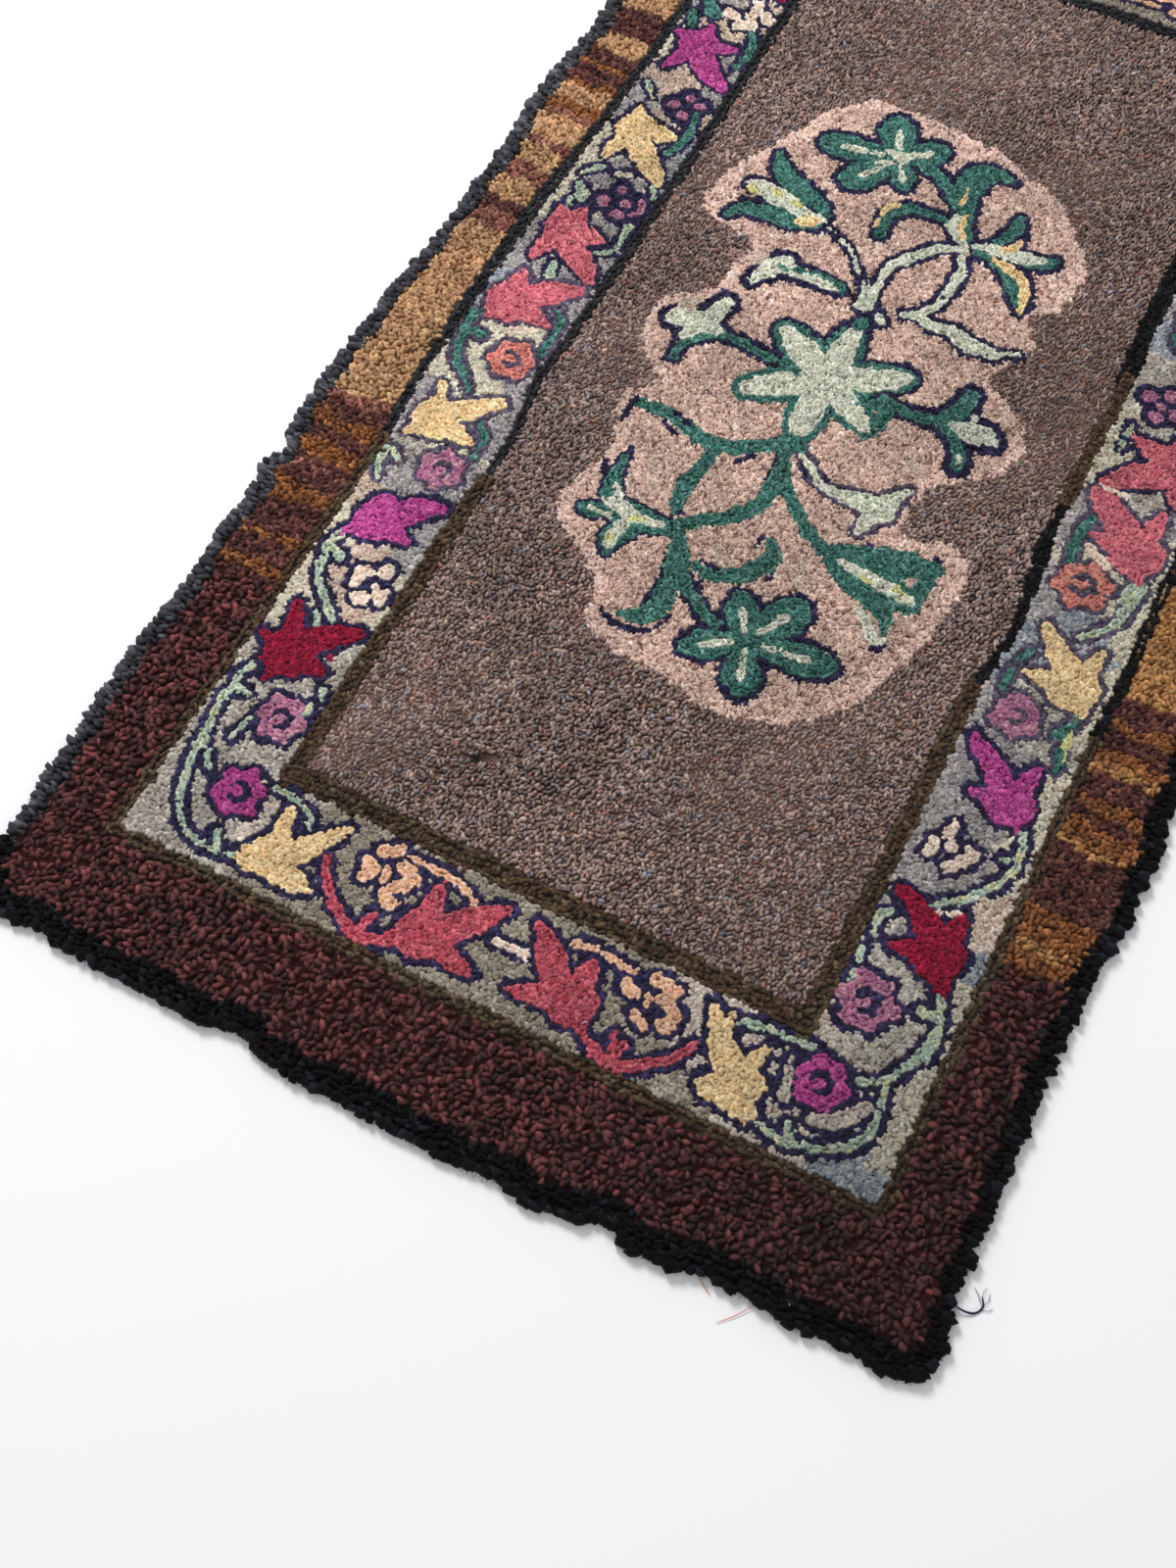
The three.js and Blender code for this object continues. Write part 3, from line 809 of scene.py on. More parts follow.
MEDALLION_FIGURES = STAR_PETALS + (
    strokes(Wool.TEAL, NAVY_LINE, ((-5, 66, 14), (-5, 74, 8))),
    strokes(Wool.TEAL, BARE, ((-12, -66, 12), (2, -70, 14)), ((-5, -70, 12), (-5, -84, 12))),
    strokes(Wool.TEAL, BARE, ((-46, 1, 10), (-30, -4, 5)), ((30, -8, 7), (48, 0, 15), (52, -22, 10))),
    strokes(Wool.TEAL, NAVY_LINE, ((-108, 5, 9), (-95, 5, 8), (-78, 4, 8), (-55, 1, 8))),
    strokes(Wool.TEAL, NAVY_LINE, ((-105, 6, 10), (-118, -3, 9), (-130, -15, 8), (-132, -34, 7))),
    strokes(Wool.SAGE, (Ring(Wool.NAVY, 7.2),), ((-108, 9, 6), (-128, 8, 24), (-150, 4, 14)),
        ((-122, 12, 20), (-119, 28, 16), (-116, 38, 12)), ((-130, 2, 18), (-134, -11, 6))),
    strokes(Wool.TEAL, NAVY_LINE, ((45, 4, 10), (70, 0, 9), (88, 3, 11), (100, 3, 12))),
    strokes(Wool.TEAL, (Ring(Wool.NAVY, 7),), ((96, 8, 14), (106, 24, 17), (107, 40, 12)), ((100, 1, 10),
        (113, -9, 11), (121, -20, 12), (124, -32, 9))),
    strokes(Wool.SAGE, (Ring(Wool.NAVY, 7.5),), ((102, 6, 5), (122, 6, 22), (132, 7, 20), (143, 3, 5))),
    strokes(Wool.SAGE, BARE, ((122, -20, 3.6), (123, -28, 3.6)), ((114, 28, 3.6), (119, 20, 3.6))),
    strokes(Wool.SAGE, (Ring(Wool.NAVY, 5),), ((42, 182, 8), (28, 178, 9), (15, 168, 11), (3, 152, 11),
        (-6, 142, 9), (-9, 130, 8), (-9, 112, 8), (-12, 100, 15), (-11, 88, 15)), ((-23, 107, 4),
        (-13, 103, 6))),
    strokes(Wool.SAGE, (Ring(Wool.NAVY, 5),), ((42, 172, 8), (48, 163, 9), (48, 140, 9), (47, 125, 9),
        (43, 113, 8), (36, 100, 9), (24, 93, 7)), ((38, 97, 8), (50, 93, 11), (66, 95, 14), (84, 89, 16),
        (98, 87, 13), (109, 88, 8)), ((113, 92, 4), (124, 97, 5)), ((4, 83, 5), (10, 77, 8))),
    strokes(Wool.SAGE, (Ring(Wool.NAVY, 6.5),), ((-88, 101, 14), (-97, 93, 19), (-103, 81, 15),
        (-108, 69, 7)), ((-90, 95, 14), (-62, 95, 13), (-38, 93, 9))),
    strokes(Wool.TEAL, BARE, ((-92, 94, 4), (-76, 97, 5), (-58, 102, 6), (-36, 97, 6), (-33, 90, 5))),
    # Painted shadow: a line of black loops where a slit in the pile shows shade.
    leaf(Wool.BLACK, BARE, (-30, 99, 3.6), (-21, 88, 3.6)),
    strokes(Wool.SAGE, (Ring(Wool.NAVY, 4.6),), ((-75, 152, 3), (-60, 146, 3), (-45, 137, 3),
        (-31, 120, 3), (-21, 108, 3))),
    strokes(Wool.TEAL, NAVY_LINE, ((-80, 163, 8), (-98, 174, 18), (-122, 184, 21), (-138, 195, 17),
        (-148, 211, 6)), ((-82, 150, 8), (-104, 143, 14), (-125, 143, 16), (-148, 140, 14),
        (-159, 128, 7))),
    strokes(Wool.SAGE, NAVY_LINE, ((-82, 157, 10), (-105, 158, 14), (-135, 166, 21), (-156, 169, 8))),
    strokes(Wool.TEAL, BARE, ((-104, 148, 5), (-118, 151, 6), (-130, 152, 3))),
    leaf(Wool.YELLOW, BARE, (-100, 146, 6), (-90, 151, 13), (-85, 154, 8)),
    strokes(Wool.LEMON, BARE, ((-153, 163, 7), (-148, 160, 6)), ((-112, 163, 6), (-106, 163, 6)),
        ((-135, 170, 6), (-128, 166, 5))),
    *blossom(-50, 252, ((-124, 242, 30), (-70, 297, 34), (-16, 281, 30), (-32, 222, 22), (-83, 204, 33))),
    strokes(Wool.SAGE, BARE, ((-60, 258, 8), (-47, 254, 12), (-40, 262, 6)), ((-64, 239, 6),
        (-54, 246, 6))),
    vine(Wool.TEAL, NAVY_LINE, 12, (-28, 255), (-15, 252), (0, 243), (13, 231)),
    strokes(Wool.TEAL, NAVY_LINE, ((52, 273, 4), (38, 275, 12), (23, 268, 24), (18, 253, 27),
        (20, 235, 22), (29, 217, 13), (37, 200, 8), (42, 192, 5))),
    strokes(Wool.TEAL, NAVY_LINE, ((14, 206, 6), (-2, 206, 8), (-18, 204, 11), (-29, 196, 12),
        (-33, 182, 11), (-31, 166, 9))),
    strokes(Wool.SAGE, NAVY_LINE, ((22, 213, 8), (25, 204, 16), (33, 194, 11), (40, 187, 6))),
    strokes(Wool.YELLOW, BARE, ((27, 220, 4), (30, 207, 6), (36, 194, 4)), ((18, 249, 4), (19, 230, 5)),
        ((-31, 204, 6), (-38, 194, 6), (-38, 172, 5)), ((42, 188, 4), (47, 180, 4))),
    strokes(Wool.TEAL, NAVY_LINE, ((56, 196, 5), (69, 210, 12), (73, 224, 14), (72, 237, 9)),
        ((96, 192, 10), (112, 200, 13), (117, 205, 7)), ((50, 185, 7), (68, 182, 8), (84, 174, 12),
        (97, 158, 12), (106, 142, 4))),
    strokes(Wool.SAGE, NAVY_LINE, ((48, 191, 6), (66, 194, 14), (88, 196, 16), (106, 200, 9))),
    strokes(Wool.YELLOW, NAVY_LINE, ((68, 184, 5), (86, 179, 10), (102, 169, 11), (108, 152, 8),
        (109, 140, 4)), ((81, 217, 4), (80, 204, 9), (70, 199, 5))),
    leaf(Wool.NAVY, BARE, (113, 160, 6), (115, 146, 7)),
    strokes(Wool.TEAL, BARE, ((-6, -74, 12), (-20, -80, 12), (-36, -90, 13), (-56, -99, 15),
        (-80, -97, 14), (-105, -89, 12), (-138, -90, 10)), ((-58, -103, 13), (-60, -122, 12),
        (-64, -145, 14), (-63, -164, 12), (-60, -178, 5))),
    strokes(Wool.NAVY, BARE, ((-138, -84, 4.5), (-141, -95, 4.5), (-139, -110, 5)), ((-102, -86, 4),
        (-88, -91, 4)), ((-108, -98, 4), (-95, -104, 4)), ((-62, -181, 4), (-55, -172, 4)),
        ((-38, -107, 4), (-28, -95, 4)), ((-9, -82, 4), (-9, -112, 4)), ((5, -108, 5), (7, -116, 5)),
        ((-44, -178, 4), (-50, -194, 4), (-58, -199, 4)), ((-121, -135, 4.5), (-116, -141, 4.5)),
        ((-132, -155, 4), (-130, -166, 4)), ((-48, -212, 4), (-43, -232, 5), (-43, -262, 4)),
        ((-70, -282, 4), (-56, -287, 5), (-38, -286, 5), (-26, -277, 4), (-22, -262, 4)), ((13, -162, 5),
        (13, -175, 4)), ((33, -198, 5), (37, -194, 5)), ((-20, -205, 4), (-4, -205, 3.6)), ((80, -139, 4),
        (95, -131, 4), (112, -130, 4)), ((142, -122, 4), (152, -119, 4)), ((133, -219, 7), (138, -211, 6)),
        ((-14, -222, 4), (-12, -232, 4)), ((20, -98, 3.8), (12, -86, 5)), ((33, -88, 5), (36, -91, 5)),
        ((42, -96, 5), (47, -97, 4))),
    strokes(Wool.TEAL, BARE, ((-4, -76, 10), (-4, -102, 11), (-1, -128, 13), (-9, -147, 14),
        (-24, -161, 13), (-42, -175, 12), (-58, -187, 10)), ((-2, -90, 9), (12, -114, 10), (30, -131, 11),
        (50, -147, 12), (66, -153, 14))),
    strokes(Wool.TEAL, (Ring(Wool.NAVY, 2.2),), ((-58, -190, 14), (-85, -193, 24), (-108, -188, 20),
        (-119, -168, 13), (-119, -145, 8)), ((-108, -196, 16), (-120, -202, 16), (-128, -203, 12)),
        ((-85, -200, 20), (-94, -218, 20), (-92, -234, 7))),
    strokes(Wool.SAGE, BARE, ((-64, -190, 5), (-84, -193, 12), (-104, -189, 14), (-117, -189, 6)),
        ((-123, -201, 5), (-106, -201, 6)), ((-92, -204, 11), (-94, -224, 9)), ((-116, -171, 5),
        (-108, -179, 5))),
    strokes(Wool.LEMON, BARE, ((-88, -195, 5), (-80, -192, 4)), ((-96, -220, 4), (-92, -216, 4))),
    strokes(Wool.TEAL, BARE, ((-47, -194, 12), (-38, -212, 20), (-33, -238, 18), (-33, -262, 18),
        (-42, -273, 15), (-56, -278, 6))),
    strokes(Wool.TEAL, (Ring(Wool.NAVY, 3.6),), ((-26, -228, 12), (-12, -238, 10), (2, -248, 10),
        (14, -253, 10))),
    strokes(Wool.TEAL, BARE, ((-24, -211, 8), (-6, -213, 12), (10, -205, 14), (22, -192, 17),
        (28, -178, 15), (20, -163, 8))),
    strokes(Wool.SAGE, SLATE_LINE, ((8, -77, 5), (22, -88, 7), (34, -97, 8), (48, -99, 10), (70, -97, 18),
        (86, -98, 24)), ((86, -94, 22), (94, -80, 12), (98, -71, 5)), ((83, -100, 20), (80, -114, 14),
        (78, -126, 5))),
    strokes(Wool.TEAL, BARE, ((66, -151, 12), (90, -144, 20), (120, -138, 26), (148, -128, 12)),
        ((146, -132, 12), (144, -152, 14), (145, -170, 12)), ((70, -158, 12), (92, -170, 20),
        (115, -176, 22), (130, -190, 12), (134, -203, 5)), ((120, -160, 30), (138, -168, 22))),
    strokes(Wool.SAGE, BARE, ((78, -155, 7), (100, -160, 11), (125, -163, 13), (141, -167, 7)),
        ((107, -190, 5), (120, -200, 8), (132, -211, 8), (138, -207, 4))),
    strokes(Wool.LEMON, BARE, ((98, -163, 5), (106, -164, 5)), ((126, -159, 5), (134, -162, 5))),
    *blossom(42, -256, ((20, -218, 27), (70, -206, 33), (117, -247, 29), (58, -301, 30), (-2, -283, 27))),
)

FIELD_KNOTS_LEFT = (
    (-520, -212), (-215, -212), (-190, -216), (-165, -212), (-140, -218), (-100, -222), (-60, -219),
    (-20, -218), (60, -217), (520, -217),
)
FIELD_KNOTS_RIGHT = (
    (-520, 214), (-215, 214), (-190, 222), (-140, 222), (-115, 220), (-95, 214), (-20, 215), (115, 215),
    (130, 212), (520, 212),
)
FIELD_BOTTOM, FIELD_TOP = -513.0, 509.0
BORDER_KNOTS_LEFT = (
    (-620, -307), (-215, -307), (-205, -312), (-140, -313), (-60, -315), (60, -315), (150, -310),
    (220, -307), (620, -307),
)
BORDER_KNOTS_RIGHT = (
    (-620, 312), (-215, 312), (-200, 313), (-150, 314), (-130, 311), (-105, 313), (60, 313), (620, 312),
)
BORDER_BOTTOM, BORDER_TOP = -613.0, 613.0
LINE_STEP = 60


def line_along(wool: Wool, knots: tuple[tuple[float, float], ...], start: float, end: float,
               width: float) -> Figure:
    """Draws a straight-running line beside a border.

    Args:
        wool: its wool.
        knots: stations along the rug, and the line's x at each.
        start: the station where it starts.
        end: the station where it ends.
        width: its width.

    Returns:
        The line.
    """
    stations = np.arange(start, end + 1, (end - start) / max(1, round((end - start) / LINE_STEP)))
    places = np.interp(stations, [y for y, _ in knots], [x for _, x in knots])
    return Figure(wool, (tuple((float(x), float(y), width) for x, y in zip(places, stations)),))


RULE_FIGURES = (
    line_along(Wool.CHARCOAL, BORDER_KNOTS_LEFT, -215, -100, 8.5),
    line_along(Wool.CHARCOAL, BORDER_KNOTS_LEFT, -100, 130, 12.5),
    line_along(Wool.CHARCOAL, BORDER_KNOTS_LEFT, 130, 613, 9.5),
    line_along(Wool.OLIVE, BORDER_KNOTS_LEFT, -613, -215, 9.5),
    line_along(Wool.BLACK, BORDER_KNOTS_RIGHT, -215, 613, 9),
    line_along(Wool.OLIVE, BORDER_KNOTS_RIGHT, -613, -215, 8.5),
    strokes(Wool.CHARCOAL, BARE, ((-307, 613, 10), (0, 613, 10), (312, 613, 10))),
    strokes(Wool.OLIVE, BARE, ((-307, -613, 10), (0, -613, 10), (312, -613, 10))),
    line_along(Wool.CHARCOAL, FIELD_KNOTS_LEFT, -215, 0, 7.5),
    line_along(Wool.CHARCOAL, FIELD_KNOTS_LEFT, 0, 509, 9.5),
    line_along(Wool.OLIVE, FIELD_KNOTS_LEFT, -520, -215, 14),
    line_along(Wool.BLACK, FIELD_KNOTS_RIGHT, -215, -115, 7.5),
    line_along(Wool.BLACK, FIELD_KNOTS_RIGHT, -115, -60, 12),
    line_along(Wool.BLACK, FIELD_KNOTS_RIGHT, -60, 0, 8.5),
    line_along(Wool.BLACK, FIELD_KNOTS_RIGHT, 110, 509, 15),
    line_along(Wool.OLIVE, FIELD_KNOTS_RIGHT, -20, 115, 12),
    line_along(Wool.OLIVE, FIELD_KNOTS_RIGHT, -520, -215, 14),
    strokes(Wool.CHARCOAL, BARE, ((-217, 509, 13), (0, 509, 13), (212, 509, 13))),
    strokes(Wool.OLIVE, BARE, ((-212, -513.5, 17), (0, -513.5, 17), (214, -513.5, 17))),
)

GROUND_PLACES = {
    Wool.STONE: ((-296, -600), (-250, -560), (-262, -525), (-300, -510), (-275, -485), (-262, -462),
        (-248, -447), (-300, -440), (-240, -410), (-284, -212), (276, -490), (255, -447), (275, -204),
        (273, -236), (270, 0), (252, 68), (235, 128)),
    Wool.LILAC_GREY: ((-205, -548), (150, -550), (205, -548), (225, -604), (270, -540)),
    Wool.MOSS: ((-150, -600), (-140, -550), (-70, -555), (-20, -600), (0, -580), (0, -540), (80, -560),
        (140, -600)),
    Wool.DUSK: ((275, -600), (-300, -40), (-225, 180), (303, -415), (240, -150), (270, -130)),
    Wool.BEAD: ((300, -560), (-292, -385), (-222, -345), (-222, -385), (-300, -350), (-300, -300),
        (-254, -197), (-281, -106), (-262, -70), (-254, -130), (-300, 80), (-300, 150), (-300, 290),
        (303, -510), (305, -460), (304, -340), (304, -280), (300, -190), (302, -110), (256, -60),
        (304, -50), (227, 30), (300, 130), (226, 80)),
    Wool.TAN: ((-240, -372), (-270, -350), (-255, -312), (-295, -275), (-248, 200), (-275, 250),
        (-255, 320), (-230, 385), (296, -390)),
    Wool.GREY: ((-230, -305), (-275, -240), (-230, -240), (-300, -180), (-240, -170), (-228, -120),
        (-230, -30), (-298, 20), (-230, 30), (-268, 115), (-228, 150), (-300, 220), (-230, 270),
        (-285, 370), (245, -368), (270, -362), (250, -308), (228, -300), (227, -275), (262, -252),
        (228, -235), (230, -120), (228, -40), (300, 10), (302, 60), (280, 105)),
}

LEFT_STRIPES = (
    (-760, Wool.MAROON), (-374, Wool.RUST), (-362, Wool.PLUM), (-345, Wool.RUST), (-339, Wool.PLUM),
    (-301, Wool.RUST), (-288, Wool.PLUM), (-274, Wool.HEATHER), (-268, Wool.PLUM), (-259, Wool.RUST),
    (-242, Wool.PLUM), (-226, Wool.RUST), (-212, Wool.PLUM), (-198, Wool.HEATHER), (-188, Wool.GOLD),
    (22, Wool.HEATHER), (41, Wool.PLUM), (57, Wool.GOLD), (80, Wool.HEATHER), (98, Wool.GOLD),
    (123, Wool.HEATHER), (130, Wool.GOLD), (160, Wool.HEATHER), (170, Wool.RUST), (184, Wool.GOLD),
    (205, Wool.RUST), (213, Wool.PLUM), (233, Wool.RUST), (240, Wool.PLUM), (258, Wool.GOLD),
    (274, Wool.PLUM), (316, Wool.GOLD), (348, Wool.PLUM), (390, Wool.HEATHER), (410, Wool.MAROON),
)
RIGHT_STRIPES = (
    (-760, Wool.MAROON), (-408, Wool.RUST), (-392, Wool.OCHRE), (-384, Wool.RUST), (-359, Wool.PLUM),
    (-302, Wool.OCHRE), (-296, Wool.RUST), (-279, Wool.PLUM), (-269, Wool.RUST), (-259, Wool.PLUM),
    (-236, Wool.OCHRE), (-226, Wool.RUST), (-213, Wool.PLUM), (-199, Wool.RUST), (-186, Wool.PLUM),
    (-167, Wool.OCHRE), (190, Wool.HEATHER), (215, Wool.RUST), (240, Wool.PLUM), (275, Wool.OCHRE),
    (300, Wool.PLUM), (345, Wool.RUST), (400, Wool.MAROON),
)


def hidden_copies(figures: tuple[Figure, ...], first: float) -> tuple[Figure, ...]:
    """Copies figures to the unseen end.

    Args:
        figures: the figures of the near end.
        first: the station from which the copies lie.

    Returns:
        The copies of those whose every knot lies beyond the station.
    """
    return tuple(
        mirrored(figure)
        for figure in figures
        if all(y < -first for stroke in figure.strokes for _, y, _ in stroke)
    )


BORDER_FIGURES = (
    hidden_copies(BOTTOM_FIGURES, FIRST_HIDDEN[Side.TOP])
    + hidden_copies(LEFT_LOWER_FIGURES, FIRST_HIDDEN[Side.LEFT])
    + hidden_copies(RIGHT_LOWER_FIGURES, FIRST_HIDDEN[Side.RIGHT])
    + LEFT_UPPER_FIGURES
    + RIGHT_UPPER_FIGURES
    + LEFT_LOWER_FIGURES
    + RIGHT_LOWER_FIGURES
    + BOTTOM_FIGURES
)


CHANCE_MIX, CHANCE_SCALE = (127.1, 311.7, 74.7), 43758.5453


def chance_at(i: np.ndarray, j: np.ndarray, salt: float) -> np.ndarray:
    """Works out a steady value for each whole-number place.

    Args:
        i: the places' first numbers.
        j: the places' second numbers.
        salt: tells one set of values from another.

    Returns:
        The values, from 0 to 1.
    """
    across, along, salted = CHANCE_MIX
    mixed = np.sin(i * across + j * along + salt * salted) * CHANCE_SCALE
    return mixed - np.floor(mixed)


# A warp is how far it reaches in all and how far apart its ups and downs are.
GROUND_WARP = (16, 14)
STRIPE_RAG, STRIPE_SLANT = (9, 9), (8, 31)
EDGE_WARP = (4, 17)
FIGURE_WARP, PATCH_WARP, FINE_WARP = (2.2, 7), (6, 7), (2.4, 3.2)
ROW_WARP = (9, 60)

STRIPE_ROOM = 3
END_REACH, END_EDGE, LONG_EDGE = 32, 20, 13.5
# Where the edge's black takes a painted sheen: the share of the width from the left, and how unevenly it
# ends.
SHEEN_PAINTED_SHARE, SHEEN_PAINTED_SPREAD = 0.42, 60


def drift(x: np.ndarray, y: np.ndarray, size: float, salt: float) -> np.ndarray:
    """Returns a softly wandering value from 0 to 1.

    Args:
        x: the places' x.
        y: the places' y.
        size: about how far apart its ups and downs are.
        salt: tells one wander from another.

    Returns:
        The value at each place.
    """
    i, j = np.floor(x / size), np.floor(y / size)
    s, t = smooth(x / size - i), smooth(y / size - j)
    low = chance_at(i, j, salt) * (1 - s) + chance_at(i + 1, j, salt) * s
    high = chance_at(i, j + 1, salt) * (1 - s) + chance_at(i + 1, j + 1, salt) * s
    return low * (1 - t) + high * t


def swing(x: np.ndarray, y: np.ndarray, reach: float, size: float, salt: float) -> np.ndarray:
    """Returns a softly wandering value round nought, of a reach from its lowest to its highest."""
    return reach * (drift(x, y, size, salt) - 0.5)


def ground_wool(x: np.ndarray, y: np.ndarray) -> np.ndarray:
    """Picks the wool of the border's ground: that of the nearest of its places.

    Args:
        x: the cells' x.
        y: the cells' y.

    Returns:
        The wool's number at each cell.
    """
    hidden = np.where(x < 0, *(FIRST_HIDDEN[side] + HIDDEN_ROOM[side] for side in (Side.LEFT, Side.RIGHT)))
    near_y = np.where(y > hidden, -y, y)
    warp_x = x + swing(x, y, *GROUND_WARP, 3)
    warp_y = near_y + swing(x, y, *GROUND_WARP, 4)
    nearest = np.full(x.shape, np.inf)
    wool = np.zeros(x.shape, dtype=np.int16)
    for ground, places in GROUND_PLACES.items():
        for place_x, place_y in places:
            gap = (warp_x - place_x) ** 2 + (warp_y - place_y) ** 2
            closer = gap < nearest
            nearest = np.where(closer, gap, nearest)
            wool[closer] = WOOL_NUMBER[ground]
    return wool


def band_wool(x: np.ndarray, y: np.ndarray) -> np.ndarray:
    """Picks the wool of the outer band, with its stripes along both long sides.

    Args:
        x: the cells' x.
        y: the cells' y.

    Returns:
        The wool's number at each cell.
    """
    ragged = y + swing(x, y, *STRIPE_RAG, 5) + swing(x, y, *STRIPE_SLANT, 6)
    wool = np.full(x.shape, WOOL_NUMBER[Wool.MAROON], dtype=np.int16)
    for at_side, stripes in ((x < 0, LEFT_STRIPES), (x >= 0, RIGHT_STRIPES)):
        for start, stripe in stripes:
            wool[at_side & (ragged >= start)] = WOOL_NUMBER[stripe]
    wool[np.abs(y) > BORDER_TOP + STRIPE_ROOM] = WOOL_NUMBER[Wool.MAROON]
    return wool


def contours(values: np.ndarray, level: float) -> list[tuple[np.ndarray, bool]]:
    """Follows a level through a window of values.

    Args:
        values: the window, a row for each y.
        level: the value to follow.

    Returns:
        Each line's points as columns and rows of the window, and whether it is closed.
    """
    rows, columns = values.shape
    above = values > level
    level_sides = above[:, :-1] != above[:, 1:]
    upright_sides = above[:-1, :] != above[1:, :]
    bottom, top = level_sides[:-1], level_sides[1:]
    left, right = upright_sides[:, :-1], upright_sides[:, 1:]
    r, c = np.nonzero(bottom | top | left | right)
    if not len(r):
        return []
    flat = rows * columns
    cell = r * columns + c
    names = np.stack([cell, cell + columns, flat + cell, flat + cell + 1])
    crossed = np.stack([bottom[r, c], top[r, c], left[r, c], right[r, c]])
    full = crossed.all(axis=0)
    pairs = [names[[0, 2]][:, full], names[[1, 3]][:, full]]
    for a in range(4):
        for b in range(a + 1, 4):
            chosen = crossed[a] & crossed[b] & ~full
            pairs.append(names[[a, b]][:, chosen])
    links: dict[int, list[int]] = {}
    for a, b in np.concatenate(pairs, axis=1).T.tolist():
        links.setdefault(a, []).append(b)
        links.setdefault(b, []).append(a)
    lines = []
    starts = [name for name, ends in links.items() if len(ends) == 1] + list(links)
    used: set[int] = set()
    for start in starts:
        if start in used:
            continue
        chain, here = [start], start
        used.add(start)
        while True:
            onward = [name for name in links[here] if name not in used]
            if not onward:
                break
            here = onward[0]
            used.add(here)
            chain.append(here)
        closed = len(chain) > 2 and start in links[chain[-1]]
        lines.append((crossing_places(values, level, np.array(chain)), closed))
    return lines


def crossing_places(values: np.ndarray, level: float, names: np.ndarray) -> np.ndarray:
    """Finds where a level crosses cell sides.

    Args:
        values: the window.
        level: the value to follow.
        names: the sides' names: level ones first, then upright ones.

    Returns:
        The crossings, as columns and rows.
    """
    rows, columns = values.shape
    upright = names >= rows * columns
    place = np.where(upright, names - rows * columns, names)
    row, column = place // columns, place % columns
    here = values[row, column]
    there = values[np.where(upright, row + 1, row), np.where(upright, column, column + 1)]
    share = (level - here) / np.where(there == here, 1, there - here)
    return np.stack([column + np.where(upright, 0, share), row + np.where(upright, share, 0)], axis=1)


def spaced(line: np.ndarray, closed: bool, spacing: float) -> tuple[np.ndarray, np.ndarray]:
    """Sets places evenly along a line.

    Args:
        line: the line's points.
        closed: whether it runs back to its start.
        spacing: about how far apart the places are.

    Returns:
        The places, and the way of the line at each.
    """
    points = np.vstack([line, line[:1]]) if closed else line
    runs = np.hypot(*(points[1:] - points[:-1]).T)
    reach = np.concatenate([[0], np.cumsum(runs)])
    if reach[-1] < spacing * 0.6:
        return np.zeros((0, 2)), np.zeros(0)
    count = max(1, round(reach[-1] / spacing))
    at = (np.arange(count) + (0 if closed else 0.5)) / count * reach[-1]
    ahead, behind = np.clip(at + spacing / 2, 0, reach[-1]), np.clip(at - spacing / 2, 0, reach[-1])
    place, after, before = (
        np.stack([np.interp(s, reach, points[:, 0]), np.interp(s, reach, points[:, 1])], axis=1)
        for s in (at, ahead, behind)
    )
    way = after - before
    return place, np.arctan2(way[:, 1], way[:, 0])


CODES_EACH = 4


@dataclass
class Window:
    """One figure's distances over its own stretch of the plan, at a place for each millimetre."""

    figure: Figure
    number: int
    zone: Zone
    column: int
    row: int
    distance: np.ndarray

    def code(self, rank: int = -1) -> int:
        """Returns what the plan's cells hold where the figure, or its ring of a rank, shows."""
        return self.number * CODES_EACH + rank + 1


